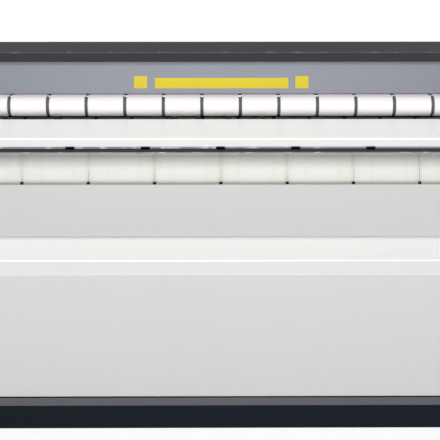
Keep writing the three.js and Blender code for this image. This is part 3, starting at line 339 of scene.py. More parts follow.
steels = {
    "polished_steel": {
        "colour": (205, 207, 210), "roughness": 0.14, "stain": 0.12,
        "grainScale": 900, "grain": (1, 0.04, 0.04),
    },
    "roller_metal": {
        "colour": (178, 180, 184), "roughness": 0.3, "stain": 0.3,
        "grainScale": 800, "grain": (1, 0.03, 0.03),
    },
    "plain_steel": {
        "colour": (176, 179, 183), "roughness": 0.34, "stain": 0.25,
        "grainScale": 620, "grain": (0.03, 1, 1),
    },
}
irons = {
    "dark_iron": {
        "colour": (66, 68, 71), "roughness": 0.55, "metal": 0.45, "edgeWearAndHighlight": 0.5,
        "edge": (128, 130, 133),
    },
}
plastics = {
    "black_plastic": {"colour": (17, 17, 20), "roughness": 0.55, "shine": 0.12},
    "green_plastic": {"colour": (28, 138, 62), "roughness": 0.32, "coat": 0.3, "texture": 0.08},
    "red_plastic": {"colour": (192, 26, 26), "roughness": 0.32, "coat": 0.3, "texture": 0.08},
    "yellow_plastic": {"colour": (187, 171, 30), "roughness": 0.45, "shine": 0.15, "texture": 0.06},
    "roller_rubber": {"colour": (78, 78, 84), "roughness": 0.6, "shine": 0.15},
    "dark_gloss": {"colour": (18, 20, 24), "roughness": 0.12, "coat": 0.6, "texture": 0.02},
    "strip_olive": {"colour": (158, 155, 140), "roughness": 0.55, "shine": 0.2, "texture": 0.2},
}
recipes = ((powderCoat, coats), (brushedSteel, steels), (castMetal, irons), (mouldedPlastic, plastics))
finishes = {name: make(name, look) for make, looks in recipes for name, look in looks.items()}
print("finishes made:", len(finishes))


# Meshes
def soften(bm, width, segments=2, angle=30, only=None):  # bevels sharp edges and marks the new faces as rim
    rim = bm.faces.layers.float.get("rim") or bm.faces.layers.float.new("rim")
    sharp = [e for e in bm.edges if e.is_manifold and e.calc_face_angle(0) > math.radians(angle)]
    if only:
        sharp = [e for e in sharp if only(e)]
    if not sharp:
        return
    size = {"offset": width, "offset_type": "OFFSET", "segments": segments, "profile": 0.5}
    made = bmesh.ops.bevel(bm, geom=sharp, affect="EDGES", clamp_overlap=True, **size)
    for face in made["faces"]:
        face[rim] = 1.0


def meshOf(bm, name, sharpAngle=32):  # the angle in degrees from which an edge shows as one
    mesh = bpy.data.meshes.new(name)
    bm.to_mesh(mesh)
    bm.free()
    return settled(mesh, sharpAngle)


def solidOf(bm, name, bevel=0, segments=2, angle=30, only=None, sharpAngle=32):  # a closed form, facing out
    bmesh.ops.recalc_face_normals(bm, faces=bm.faces)
    if bevel:
        soften(bm, bevel * mm, segments, angle, only)
    return meshOf(bm, name, sharpAngle)


def wallBetween(bm, first, second):  # faces between two closed rows of corners
    for i in range(len(first)):
        j = (i + 1) % len(first)
        bm.faces.new((first[i], first[j], second[j], second[i]))


def settled(mesh, sharpAngle):  # smooth shading in which the large faces stay flat
    mesh.shade_smooth()
    mesh.set_sharp_from_angle(angle=math.radians(sharpAngle))
    holder = bpy.data.objects.new(mesh.name, mesh)
    scene.collection.objects.link(holder)
    weighted = holder.modifiers.new("weighted", "WEIGHTED_NORMAL")
    weighted.keep_sharp = True
    bpy.context.view_layer.update()
    graph = bpy.context.evaluated_depsgraph_get()
    made = bpy.data.meshes.new_from_object(holder.evaluated_get(graph))
    bpy.data.objects.remove(holder)
    bpy.data.meshes.remove(mesh)
    return made


def piece(name, mesh, finish, *replaced, body="machine_frame", slot=None):
    mesh.materials.clear()
    mesh.materials.append(finishes[finish])
    made = bpy.data.objects.new(name, mesh)
    scene.collection.objects.link(made)
    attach(made, body)
    if replaced:
        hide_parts(*replaced)


def softCopy(node, name, slot, width, body="machine_frame"):
    # a CAD node again, with its doubles merged and its edges softened
    bm = bmesh.new()
    bm.from_mesh(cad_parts[node].data)
    bmesh.ops.remove_doubles(bm, verts=bm.verts, dist=2e-5)
    bmesh.ops.dissolve_limit(bm, angle_limit=math.radians(0.6), verts=bm.verts, edges=bm.edges)
    soften(bm, width * mm)
    piece(name, meshOf(bm, node), slot, node, body=body)


def turnTo(mesh, axis, centre):  # a mesh made round Z, laid round another axis at its place
    aim = Vector(axis).to_track_quat("Z", "Y").to_matrix().to_4x4()
    mesh.transform(Matrix.Translation(Vector(centre) * mm) @ aim)
    return mesh


def latheMesh(name, profile, sides, bevel):
    # profile of (along, radius), open at the axis or closed when its ends meet
    bm = bmesh.new()
    closed = profile[0] == profile[-1]
    points = profile[:-1] if closed else profile
    turns = [2 * math.pi * i / sides for i in range(sides)]
    rings = []
    for along, radius in points:
        if radius < 1e-6:
            rings.append([bm.verts.new((0, 0, along * mm))])
            continue
        spots = [(radius * mm * math.cos(t), radius * mm * math.sin(t), along * mm) for t in turns]
        rings.append([bm.verts.new(spot) for spot in spots])
    pairs = list(zip(rings, rings[1:])) + ([(rings[-1], rings[0])] if closed else [])
    for low, high in pairs:
        for i in range(sides):
            j = (i + 1) % sides
            ring = [low[i % len(low)], low[j % len(low)], high[j % len(high)], high[i % len(high)]]
            corners = [v for k, v in enumerate(ring) if v not in ring[:k]]
            if len(corners) > 2:
                bm.faces.new(corners)
    return solidOf(bm, name, bevel, only=lambda e: len({round(v.co.z, 7) for v in e.verts}) == 1)


def rodMesh(name, low, high, radius, sides, bevel):  # a plain round bar
    return latheMesh(name, [(low, 0), (low, radius), (high, radius), (high, 0)], sides, bevel)


def extrudeMesh(name, outline, low, high, bevel=0.5, angle=30):  # a (y, z) outline drawn along X
    bm = bmesh.new()
    ends = [[bm.verts.new((x * mm, y * mm, z * mm)) for y, z in outline] for x in (low, high)]
    bm.faces.new(ends[0])
    bm.faces.new(ends[1])
    wallBetween(bm, *ends)
    return solidOf(bm, name, bevel, 2, angle)


def boxMesh(name, low, high, bevel, segments=3):
    bm = bmesh.new()
    spots = [bm.verts.new([(low, high)[k >> a & 1][a] * mm for a in range(3)]) for k in range(8)]
    for ring in ((0, 2, 3, 1), (4, 5, 7, 6), (0, 1, 5, 4), (2, 6, 7, 3), (0, 4, 6, 2), (1, 3, 7, 5)):
        bm.faces.new([spots[i] for i in ring])
    return solidOf(bm, name, bevel, segments)


def joinMeshes(name, meshes):  # several meshes as one, which uses them up
    bm = bmesh.new()
    for mesh in meshes:
        bm.from_mesh(mesh)
        bpy.data.meshes.remove(mesh)
    return meshOf(bm, name)


def leftOf(start, end):  # the way that points left of a line
    length = math.dist(start, end)
    return ((start[1] - end[1]) / length, (end[0] - start[0]) / length)


def shifted(points, distance):  # moved to the left of the way they run, with mitred corners
    moved = []
    for i, point in enumerate(points):
        before = points[i - 1] if i else None
        after = points[i + 1] if i + 1 < len(points) else None
        first = leftOf(before or point, point if before else after)
        second = leftOf(point if after else before, after or point)
        reach = distance / (1 + first[0] * second[0] + first[1] * second[1])
        moved.append((point[0] + (first[0] + second[0]) * reach, point[1] + (first[1] + second[1]) * reach))
    return moved


def bent(points, radius, steps):  # inner corners bent, and for every point the number of its bend
    line, marks = [points[0]], [0]
    for number, (before, corner, after) in enumerate(zip(points, points[1:], points[2:]), 1):
        into, away = leftOf(before, corner), leftOf(corner, after)
        turn = math.atan2(into[0] * away[1] - into[1] * away[0], into[0] * away[0] + into[1] * away[1])
        reach = radius * math.tan(abs(turn) / 2)
        side = math.copysign(radius, turn)
        start = (corner[0] - into[1] * reach, corner[1] + into[0] * reach)
        centre = (start[0] + into[0] * side, start[1] + into[1] * side)
        for step in range(steps + 1):
            angle = turn * step / steps
            over = -side * (into[0] * math.cos(angle) - into[1] * math.sin(angle))
            up = -side * (into[0] * math.sin(angle) + into[1] * math.cos(angle))
            line.append((centre[0] + over, centre[1] + up))
            marks.append(number)
    return line + [points[-1]], marks + [0]


def foldedMesh(name, look):  # sheet folded along a (y, z) path
    line, marks = bent(look["path"], look["bend"], look.get("steps", 8))
    inner = shifted(line, look.get("skin", 2.5))
    bm = bmesh.new()
    rim = bm.faces.layers.float.new("rim")
    outLeft, inLeft, outRight, inRight = (
        [bm.verts.new((x * mm, y * mm, z * mm)) for y, z in side]
        for x in (-look["half"], look["half"])
        for side in (line, inner)
    )
    last = len(line) - 1
    for i in range(last):
        quads = ((outLeft, outRight), (inRight, inLeft))
        faces = [bm.faces.new((a[i], a[i + 1], b[i + 1], b[i])) for a, b in quads]
        faces.append(bm.faces.new((outLeft[i], inLeft[i], inLeft[i + 1], outLeft[i + 1])))
        faces.append(bm.faces.new((outRight[i], outRight[i + 1], inRight[i + 1], inRight[i])))
        for face in faces:
            face[rim] = float(0 < marks[i] == marks[i + 1])
    for i in (0, last):
        bm.faces.new((outLeft[i], outRight[i], inRight[i], inLeft[i]))
    return solidOf(bm, name, look.get("edge", 0.35), 2, 50, None, 40)


def loopRound(wheels, step):
    # an endless line round (y, z, radius, turn) wheels, a step of degrees at a time, with its inward normals
    tangents = []
    for i, (y, z, radius, turn) in enumerate(wheels):
        nextY, nextZ, nextRadius, nextTurn = wheels[(i + 1) % len(wheels)]
        lean = (nextTurn * nextRadius - turn * radius) / math.hypot(nextY - y, nextZ - z)
        tangents.append(math.atan2(nextZ - z, nextY - y) + math.acos(lean))
    points = []
    for i, (y, z, radius, turn) in enumerate(wheels):
        start = tangents[i - 1]
        sweep = math.fmod(tangents[i] - start, 2 * math.pi)
        if turn > 0 and sweep < 0:
            sweep += 2 * math.pi
        if turn < 0 and sweep > 0:
            sweep -= 2 * math.pi
        count = max(1, math.ceil(abs(sweep) / math.radians(step)))
        for k in range(count + 1):
            angle = start + sweep * k / count
            ny, nz = math.cos(angle), math.sin(angle)
            points.append((y - ny * turn * radius, z - nz * turn * radius, ny, nz))
    return points


def loopMesh(name, wheels, section, thickness, step):
    # section of (x, height over the inner face) carried round, with a UV map in metres along the loop
    points = loopRound(wheels, step)
    bm = bmesh.new()
    along = bm.loops.layers.uv.new("along")
    rows = []
    for y, z, ny, nz in points:
        spots = [(x, y + ny * (thickness / 2 - h), z + nz * (thickness / 2 - h)) for x, h in section]
        rows.append([bm.verts.new((a * mm, b * mm, c * mm)) for a, b, c in spots])
    run = 0.0
    for i, row in enumerate(rows):
        ahead = rows[(i + 1) % len(rows)]
        here, there = points[i], points[(i + 1) % len(rows)]
        length = math.dist(here[:2], there[:2]) * mm
        for j in range(len(section)):
            k = (j + 1) % len(section)
            face = bm.faces.new((row[j], row[k], ahead[k], ahead[j]))
            sides = (section[j][0] * mm, section[k][0] * mm, section[k][0] * mm, section[j][0] * mm)
            for corner, side, far in zip(face.loops, sides, (0, 0, length, length)):
                corner[along].uv = (side, run + far)
        run += length
    return solidOf(bm, name, sharpAngle=50)


def roundedSection(half, thickness, bend, steps=3):  # a belt's section with soft edges
    right = []
    for k in range(steps + 1):
        angle = math.pi / 2 * (1 - k / steps)
        right.append((half - bend + bend * math.cos(angle), thickness - bend + bend * math.sin(angle)))
    lower = [(x, thickness - h) for x, h in reversed(right)]
    side = right + lower
    return side + [(-x, h) for x, h in reversed(side)]


# What repeats is made by Geometry Nodes
lent = []


def pattern(mesh):  # an object that only lends its shape to a tree
    made = bpy.data.objects.new(mesh.name, mesh)
    scene.collection.objects.link(made)
    lent.append(made)
    return made


class Grown(Net):  # a tree with named inputs that ends in Realize Instances and Set Material
    def __init__(self, name, **inputs):
        tree = bpy.data.node_groups.new(name, "GeometryNodeTree")
        super().__init__(tree)
        tree.interface.new_socket("Geometry", in_out="INPUT", socket_type="NodeSocketGeometry")
        tree.interface.new_socket("Geometry", in_out="OUTPUT", socket_type="NodeSocketGeometry")
        for label, kind in {**inputs, "Finish": "Material"}.items():
            tree.interface.new_socket(label, in_out="INPUT", socket_type="NodeSocket" + kind)
        self.given = self.node("NodeGroupInput")

    def take(self, *labels):
        wires = [self.given.out(label) for label in labels]
        return wires if len(wires) > 1 else wires[0]

    def vector(self, **parts):
        return self.node("ShaderNodeCombineXYZ", None, parts)

    def placed(self, points, label="Shape", **more):  # a lent shape on each of the points
        source = {"Object": self.take(label)}
        shape = self.node("GeometryNodeObjectInfo", {"transform_space": "ORIGINAL"}, source).out("Geometry")
        return self.node("GeometryNodeInstanceOnPoints", None, {"Points": points, "Instance": shape, **more})

    def closed(self, geometry):
        solid = self.node("GeometryNodeRealizeInstances", None, {0: geometry})
        values = {"Geometry": solid, "Material": self.take("Finish")}
        dressed = self.node("GeometryNodeSetMaterial", None, values)
        end = self.tree.nodes.new("NodeGroupOutput")
        self.tree.links.new(dressed.socket, end.inputs[0])
        return self.tree


def grow(name, kind, finish, base=None, **inputs):  # the plain mesh that a tree makes of a base mesh
    holder = bpy.data.objects.new(name, base or bpy.data.meshes.new(name + "Base"))
    scene.collection.objects.link(holder)
    modifier = holder.modifiers.new("grown", "NODES")
    modifier.node_group = trees[kind]
    keys = {s.name: s.identifier for s in trees[kind].interface.items_tree if s.in_out == "INPUT"}
    for label, value in {**inputs, "Finish": finishes[finish]}.items():
        modifier[keys[label]] = value
    bpy.context.view_layer.update()
    graph = bpy.context.evaluated_depsgraph_get()
    mesh = bpy.data.meshes.new_from_object(holder.evaluated_get(graph))
    bpy.data.objects.remove(holder)
    mesh.name = name
    return settled(mesh, 50)


def rowTree():  # shapes along X, with the row's middle at the origin
    net = Grown("row", Shape="Object", Count="Int", Pitch="Float")
    count, pitch = net.take("Count", "Pitch")
    spread = {"Start Location": net.vector(X=(1 - count) * pitch / 2), "Offset": net.vector(X=pitch)}
    line = net.node("GeometryNodeMeshLine", {"mode": "OFFSET"}, {"Count": count, **spread})
    return net.closed(net.placed(line))


def gridTree():  # shapes in columns and rows, with given steps across and down
    net = Grown("grid", Shape="Object", Columns="Int", Rows="Int", Across="Float", Down="Float")
    columns, rows, across, down = net.take("Columns", "Rows", "Across", "Down")
    sizes = {"Size X": (columns - 1) * across, "Size Y": (rows - 1) * down}
    grid = net.node("GeometryNodeMeshGrid", None, {"Vertices X": columns, "Vertices Y": rows, **sizes})
    return net.closed(net.placed(grid))


def ringTree():  # shapes set round Z, each turned to face out
    net = Grown("ring", Shape="Object", Count="Int", Radius="Float", First="Float")
    count, radius, first = net.take("Count", "Radius", "First")
    ring = net.node("GeometryNodeMeshCircle", {"fill_type": "NONE"}, {"Vertices": count, "Radius": radius})
    angle = net.node("GeometryNodeInputIndex") * (2 * math.pi) / count
    placed = net.placed(ring, Rotation=net.vector(Z=angle))
    turned = {"Geometry": placed, "Rotation": net.vector(Z=first)}
    return net.closed(net.node("GeometryNodeTransform", None, turned))


def scatterTree():  # shapes standing along each point's aim, turned by a seeded chance
    net = Grown("scatter", Shape="Object", Size="Float", Turn="Float", Seed="Int")
    aim = net.node("GeometryNodeInputNamedAttribute", {"data_type": "FLOAT_VECTOR"}, {"Name": "aim"})
    upright = {"axis": "Z", "pivot_axis": "AUTO"}
    stand = net.node("FunctionNodeAlignRotationToVector", upright, {"Vector": aim})
    size, most, seed = net.take("Size", "Turn", "Seed")
    chance = net.node("FunctionNodeRandomValue", {"data_type": "FLOAT"}, {2: 0.0, 3: most, "Seed": seed}, 1)
    spin = {"Rotation": stand, "Rotate By": net.vector(Z=chance)}
    turn = net.node("FunctionNodeRotateRotation", {"rotation_space": "LOCAL"}, spin)
    scale = net.vector(X=size, Y=size, Z=size)
    return net.closed(net.placed(net.take("Geometry"), Rotation=turn, Scale=scale))


def chainTree():  # two kinds of link, turn and turn about, along a closed line in the plane of Y and Z
    net = Grown("chain", Inner="Object", Outer="Object", Links="Int")
    geometry, links = net.take("Geometry", "Links")
    line = net.node("GeometryNodeMeshToCurve", None, {"Mesh": geometry})
    even = net.node("GeometryNodeResampleCurve", {"mode": "COUNT"}, {"Curve": line, "Count": links})
    _, run, rise = net.split(net.node("GeometryNodeInputTangent"))
    turn = net.vector(X=net.maths("ARCTAN2", rise, run))
    odd = net.node("GeometryNodeInputIndex") % 2
    both = net.node("GeometryNodeJoinGeometry")
    for label, chosen in (("Inner", odd), ("Outer", 1 - odd)):
        placed = net.placed(even, label, Selection=chosen, Rotation=turn)
        net.tree.links.new(placed.socket, both.made.inputs[0])
    return net.closed(both)


trees = {
    "row": rowTree(), "grid": gridTree(), "ring": ringTree(), "scatter": scatterTree(), "chain": chainTree(),
}
print("trees built:", ", ".join(trees))


def addRow(name, shape, finish, count, pitch, *replaced):  # a piece made of one shape along X
    spec = {"Shape": pattern(shape), "Count": count, "Pitch": pitch * mm}
    piece(name, grow(name, "row", finish, **spec), finish, *replaced)


def addScatter(name, shape, finish, spots, turn, seed):  # a piece of one shape on (place, way it faces) spots
    points = bpy.data.meshes.new(name + "Points")
    points.from_pydata([Vector(place) * mm for place, _ in spots], [], [])
    aims = points.attributes.new("aim", "FLOAT_VECTOR", "POINT")
    for i, (_, way) in enumerate(spots):
        aims.data[i].vector = way
    spec = {"Shape": pattern(shape), "Size": 1.0, "Turn": turn, "Seed": seed}
    piece(name, grow(name, "scatter", finish, points, **spec), finish)


def ringOf(name, shape, finish, count, radius, first=0.0):  # one shape set round Z, first in radians
    spec = {"Shape": pattern(shape), "Count": count, "Radius": radius * mm, "First": first}
    return grow(name, "ring", finish, **spec)


def axisOf(node):  # the middle of a node's box, in millimetres
    low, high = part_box(node)
    return (low + high) / 2 / mm


# Folded covers, each along a (y, z) path
covers = {"lap": 888.7, "between": 883.7, "rearY": 540}  # half widths over and between the side frames
sheets = {
    "hoodSheet": {
        "path": [(540, 1012), (540, 1030), (59.989, 1176.3), (-175.011, 1167), (-175.011, 1136.5)],
        "bend": 3, "half": covers["lap"], "finish": "charcoal_paint", "node": "hood",
    },
    "traySheet": {
        "path": [(-171.84, 741), (-305, 604), (-575, 598), (-575, 556.3)],
        "bend": 4, "half": covers["between"], "finish": "white_paint", "node": "receiving_tray",
    },
    "frontPanelSheet": {
        "path": [(-560, 556), (-575, 556), (-405, 106.8), (-390, 106.8)],
        "bend": 2.9, "half": covers["lap"] - 5.2, "finish": "white_paint", "node": "front_panel",
    },
    "shelfSheet": {
        "path": [(-265.47, 955.2), (-265.47, 969.2), (-573.5, 961.3), (-573.5, 935.3), (-564.5, 935.3)],
        "bend": 5, "half": covers["between"], "finish": "white_paint", "node": "feed_shelf",
    },
    "railSection": {
        "path": [(-545, 917.5), (-545, 935), (-571, 935), (-571, 917.5), (-551, 917.5)],
        "bend": 3.2, "half": covers["between"], "skin": 2, "steps": 6, "edge": 0.3,
        "finish": "rail_grey", "node": "shelf_rail", "slot": "black_plastic",
    },
}
for name, look in sheets.items():
    piece(name, foldedMesh(name, look), look["finish"], look["node"], slot=look.get("slot"))

tabLook = {
    "count": 9, "pitch": 217,
    "face": {"low": (-17, -575, 929), "high": (9, -573.6, 937.6), "bevel": 0.5},
    "stem": {"low": (-17, -575, 929), "high": (9, -570.6, 934.8), "bevel": 0.5, "segments": 2},
}
tab = joinMeshes("tabShape", [boxMesh(part, **tabLook[part]) for part in ("face", "stem")])
addRow("shelfTabs", tab, "black_plastic", tabLook["count"], tabLook["pitch"], "shelf_rail")

# The finger guard over the belts, with its three plain labels
guardLook = {
    "path": [(-161.011, 1145), (-187.011, 1037), (-179.011, 1037)], "bend": 0.7, "skin": 2,
    "half": covers["between"] - 1, "steps": 6, "edge": 0.3,
    "hinge": (-158.011, 1148), "tube": 6, "pin": 5, "pinHalf": covers["lap"],
}
plate = foldedMesh("guardPlate", guardLook)
hinge = (1, 0, 0), (0, *guardLook["hinge"])
tube = rodMesh("guardTube", -guardLook["half"], guardLook["half"], guardLook["tube"], sides=32, bevel=0.4)
pins = rodMesh("guardPin", -guardLook["pinHalf"], guardLook["pinHalf"], guardLook["pin"], sides=24, bevel=0.4)
guard = joinMeshes("guardSheet", [plate, turnTo(tube, *hinge), turnTo(pins, *hinge)])
piece("guardSheet", guard, "guard_grey", "finger_guard", body="finger_guard_body")

labelLook = {"under": 0.05, "over": 0.35, "steps": 6}  # its two sides over the guard, and steps to a corner


def onGuard(share, out=0.0):  # a point up the guard's face, a share of the way from its lower edge to its top
    top, low = (Vector((0, *corner)) for corner in guardLook["path"][:2])
    way = (top - low).normalized()
    return low + (top - low) * share + Vector((0, -way.z, way.y)) * out


def addLabel(name, left, right, look):  # a thin plain label with round corners
    foot, head, corner = onGuard(look["low"]), onGuard(look["high"]), look["corner"]
    span, way = (head - foot).length, (head - foot).normalized()
    outline = []
    for cx, cy, turn in ((right, span, 0), (left, span, 1), (left, 0, 2), (right, 0, 3)):
        inX, inY = (-corner if cx == right else corner), (-corner if cy == span else corner)
        for k in range(labelLook["steps"] + 1):
            angle = math.pi / 2 * (turn + k / labelLook["steps"])
            outline.append((cx + inX + corner * math.cos(angle), cy + inY + corner * math.sin(angle)))
    bm = bmesh.new()
    rows = []
    for out in (labelLook["under"], labelLook["over"]):
        start = onGuard(look["low"], out)
        rows.append([bm.verts.new((Vector((x, 0, 0)) + start + way * up) * mm) for x, up in outline])
    for row in rows:
        bm.faces.new(row)
    wallBetween(bm, *rows)
    piece(name, solidOf(bm, name), "yellow_plastic", body="finger_guard_body")


stripLook = {"left": -208.5, "right": 212.5, "low": 0.155, "high": 0.45, "corner": 1.2}
markLook = {"middles": (-253.5, 255.5), "half": 20.5, "low": 0.157, "high": 0.5, "corner": 4}
addLabel("guardStrip", stripLook["left"], stripLook["right"], stripLook)
for side, middle in zip(("left", "right"), markLook["middles"]):
    addLabel(f"guardMark_{side}", middle - markLook["half"], middle + markLook["half"], markLook)
print("folded covers and guard made")

# Feed belts and every roller
beltLook = {
    "count": 13, "pitch": 120, "width": 110, "thick": 2.5, "bend": 0.9, "inner": 28.263,
    "colour": (219, 217, 216), "thread": 0.0016, "soil": 0.22, "soilShade": (222, 216, 214),
    "paintedTopTint": 0.85, "paintedTopTintShade": (226, 206, 218),
}
finishes["belt_fabric"] = wovenBelt("belt_fabric", {**beltLook, "half": beltLook["width"] / 2 * mm})
radius = beltLook["inner"] + beltLook["thick"] / 2
wheels = [(*axisOf(node).yz, radius, 1) for node in ("front_feed_roller", "rear_feed_roller")]
section = roundedSection(beltLook["width"] / 2, beltLook["thick"], beltLook["bend"])
belt = loopMesh("beltShape", wheels, section, beltLook["thick"], step=6)
beltNodes = [f"feed_belt_{i + 1:02d}" for i in range(beltLook["count"])]
addRow("feedBelts", belt, "belt_fabric", beltLook["count"], beltLook["pitch"], *beltNodes)

# Shares of the shaft's and the tube's radius, and where the clip and the collar lie from the ends
rollerEnd = {"groove": 0.86, "collar": 1.5, "cap": (0.82, 0.86), "clip": (2.5, 4), "inset": (3, 6)}


def rollerMesh(name, look, left, right):  # a tube on a shaft with a groove for a clip at each end
    radius, shaft, half = look["radius"], look["shaft"], look["half"]
    groove, collar = shaft * rollerEnd["groove"], shaft * rollerEnd["collar"]
    (start, stop), (face, foot) = rollerEnd["clip"], rollerEnd["inset"]
    inner, outer = (radius * share for share in rollerEnd["cap"])
    profile = [
        (-left, 0), (-left, shaft), (start - left, shaft), (start - left, groove), (stop - left, groove),
        (stop - left, shaft), (foot - half, shaft), (foot - half, collar), (face - half, collar),
        (face - half, inner), (-half, outer), (-half, radius),
    ]
    mirrored = [(-a, r) for a, r in reversed(profile)]
    profile += [(a + (right - left if r <= shaft and a > half else 0), r) for a, r in mirrored]
    return latheMesh(name, profile, sides=72, bevel=0.5)


feedRoller = {"radius": 27.9, "shaft": 12, "half": 790, "finish": "roller_rubber"}
bandRoller = {"radius": 37, "shaft": 15, "half": 860, "finish": "roller_metal"}
rollers = {
    "front_feed_roller": feedRoller,
    "rear_feed_roller": feedRoller,
    "entry_roller": {**bandRoller, "radius": 45.9},
    "exit_roller": {**bandRoller, "radius": 50.4},
    "lower_front_roller": bandRoller,
    "lower_rear_roller": bandRoller,
    "upper_rear_roller": bandRoller,
}
for node, look in rollers.items():
    low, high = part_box(node)
    mesh = rollerMesh(node + "Turned", look, -low.x / mm, high.x / mm)
    turnTo(mesh, (1, 0, 0), (0, *axisOf(node).yz))
    piece(node + "Turned", mesh, look["finish"], node, body=node + "_body", slot="roller_metal")

bedLook = {
    "path": [(-64.7, 1019.7), (-64.7, 1031.7), (-184, 1031.7), (-184, 1019.7)],
    "bend": 3.5, "half": covers["between"],
}
piece("feedBedSheet", foldedMesh("feedBedSheet", bedLook), "plain_steel", "feed_bed")
print("feed belts and rollers made")

# The heated cylinder and the ironing bands round it
drumLook = {
    "axis": (200, 755),
    "profile": [  # of one half, in along the end disc, out over the journal and back through its bore
        (859, 250), (862, 247), (862, 234), (859, 230), (859, 82), (862, 72), (865, 63), (870, 60),
        (930, 60), (930, 45), (850, 45), (850, 242),
    ],
}
profile = drumLook["profile"] + [(-a, r) for a, r in reversed(drumLook["profile"])]
drum = latheMesh("drum", profile + profile[:1], sides=144, bevel=0.8)
turnTo(drum, (1, 0, 0), (0, *drumLook["axis"]))
piece("drum", drum, "polished_steel", "cylinder", body="cylinder_body")

bandLook = {
    "count": 8, "pitch": 213.5, "seam": 1, "thick": 3, "bend": 0.6, "overDrum": 251.6,
    "rollers": {
        "upper_rear_roller": 38.2, "entry_roller": 46.9, "exit_roller": 50.93,
        "lower_front_roller": 38.2, "lower_rear_roller": 38.2,
    },
    "colour": (232, 232, 226), "scorch": 0.3, "scorchShade": (214, 206, 186),
    "threadShade": (170, 166, 152), "hem": 0.006, "stitches": 250,  # metres, and stitches to a metre
}
bandHalf = (bandLook["pitch"] - bandLook["seam"]) / 2
finishes["band_fabric"] = needleFelt("band_fabric", {**bandLook, "half": bandHalf * mm})
middle = bandLook["thick"] / 2
wheels = [(*axisOf(node).yz, inner + middle, 1) for node, inner in bandLook["rollers"].items()]
wheels.insert(2, (*drumLook["axis"], bandLook["overDrum"] + middle, -1))
section = roundedSection(bandHalf, bandLook["thick"], bandLook["bend"])
band = loopMesh("bandShape", wheels, section, bandLook["thick"], step=4)
addRow("ironingBands", band, "band_fabric", bandLook["count"], bandLook["pitch"], "ironing_bands")
print("cylinder and bands made")

# Edges and guides seen under the shelf
# an olive strip along the top edge of the tray's back, put in to give the dark line of shade between the tray
# and the bands
backEdgeLook = {"front": -172.3, "rear": -170.1, "low": 735, "high": 747.3}
front, rear, low, high = backEdgeLook.values()
corners = [(front, low), (rear, low), (rear, high), (front, high)]
strip = extrudeMesh("trayStrip", corners, -covers["between"], covers["between"])
piece("trayStrip", strip, "strip_olive")

guideLook = {"low": (-5.5, -173.3, 741.5), "high": (5.5, -168.3, 750), "bevel": 1.5}
guide = boxMesh("guideShape", **guideLook)
addRow("bandGuides", guide, "black_plastic", bandLook["count"] - 1, bandLook["pitch"])

# a black sheet under the shelf's rear edge, put in to keep light off the tops of the bands and leave them in
# shade
shadeSheetLook = {"low": (-covers["between"], -265.5, 953.2), "high": (covers["between"], -231, 955), "bevel": 0.6}
piece("shelfApron", boxMesh("shelfApron", **shadeSheetLook), "black_plastic")

clipLook = {"low": (-8, -2.5, 0), "high": (8, 2.5, 10), "bevel": 2}
clipPlaces = {"across": (-670, -511, -148, -72, 25, 128), "y": -264.5, "z": 968}
spots = [((x, clipPlaces["y"], clipPlaces["z"]), (0, 0, 1)) for x in clipPlaces["across"]]
addScatter("shelfClips", boxMesh("clipShape", **clipLook), "black_plastic", spots, turn=0.0, seed=3)
print("edges and guides made")

# Base, end cabinets and rear
hands = (("left", -1), ("right", 1))
softCopy("base_frame", "baseFrame", "plinth_paint", 1.5)
softCopy("foot_bar", "footBar", "foot_grey", 1.2, "foot_bar_body")
softCopy("rear_cover", "rearCover", "charcoal_paint", 0.5)
softCopy("scraper_bar", "scraperBar", "plain_steel", 0.8)
softCopy("heater_bank", "heaterBank", "plain_steel", 0.6)
for name, _ in hands:
    softCopy(f"side_frame_{name}", f"sideFrame_{name}", "frame_grey", 0.6)
    softCopy(f"end_cover_{name}", f"endCover_{name}", "charcoal_paint", 1.2)

doorLook = {
    "inner": 1165.3, "outer": 1173.8, "y": (-380, 500), "z": (110, 930),
    "barrelX": 1171, "barrelY": 504.3, "barrels": (200, 840), "barrelHalf": 30, "barrelRadius": 4,
    "leafY": (498, 504.3), "lockY": -330, "locks": (250, 520, 790),
    "keyX": 1174.9, "keyY": (-331.6, -328.4), "keyHalf": 5,
    "lockProfile": [(-0.4, 0), (-0.4, 15), (0.7, 14), (0.7, 6), (0.2, 5.6), (0.2, 0)],
}


def addDoor(name, side):
    look = doorLook

    def slab(part, near, far, y, z, bevel):
        ends = sorted((side * near, side * far))
        return boxMesh(part, (ends[0], y[0], z[0]), (ends[1], y[1], z[1]), bevel)

    parts = [slab("panel", look["inner"], look["outer"], look["y"], look["z"], 2.5)]
    half, key = look["barrelHalf"], look["keyHalf"]
    for z in look["barrels"]:
        barrel = rodMesh("barrel", -half, half, look["barrelRadius"], sides=24, bevel=0.6)
        parts.append(turnTo(barrel, (0, 0, 1), (side * look["barrelX"], look["barrelY"], z)))
        parts.append(slab("leaf", look["barrelX"], look["outer"], look["leafY"], (z - half, z + half), 0.4))
    locks = []
    for z in look["locks"]:
        cup = latheMesh("lock", look["lockProfile"], sides=40, bevel=0.3)
        locks.append(turnTo(cup, (side, 0, 0), (side * look["outer"], look["lockY"], z)))
        locks.append(slab("key", look["outer"], look["keyX"], look["keyY"], (z - key, z + key), 0.3))
    door, body = joinMeshes("door", parts), f"{name}_door_body"
    piece(f"serviceDoor_{name}Panel", door, "charcoal_paint", f"service_door_{name}", body=body)
    piece(f"doorLocks_{name}", joinMeshes("locks", locks), "black_plastic", body=body)


for hand in hands:
    addDoor(*hand)

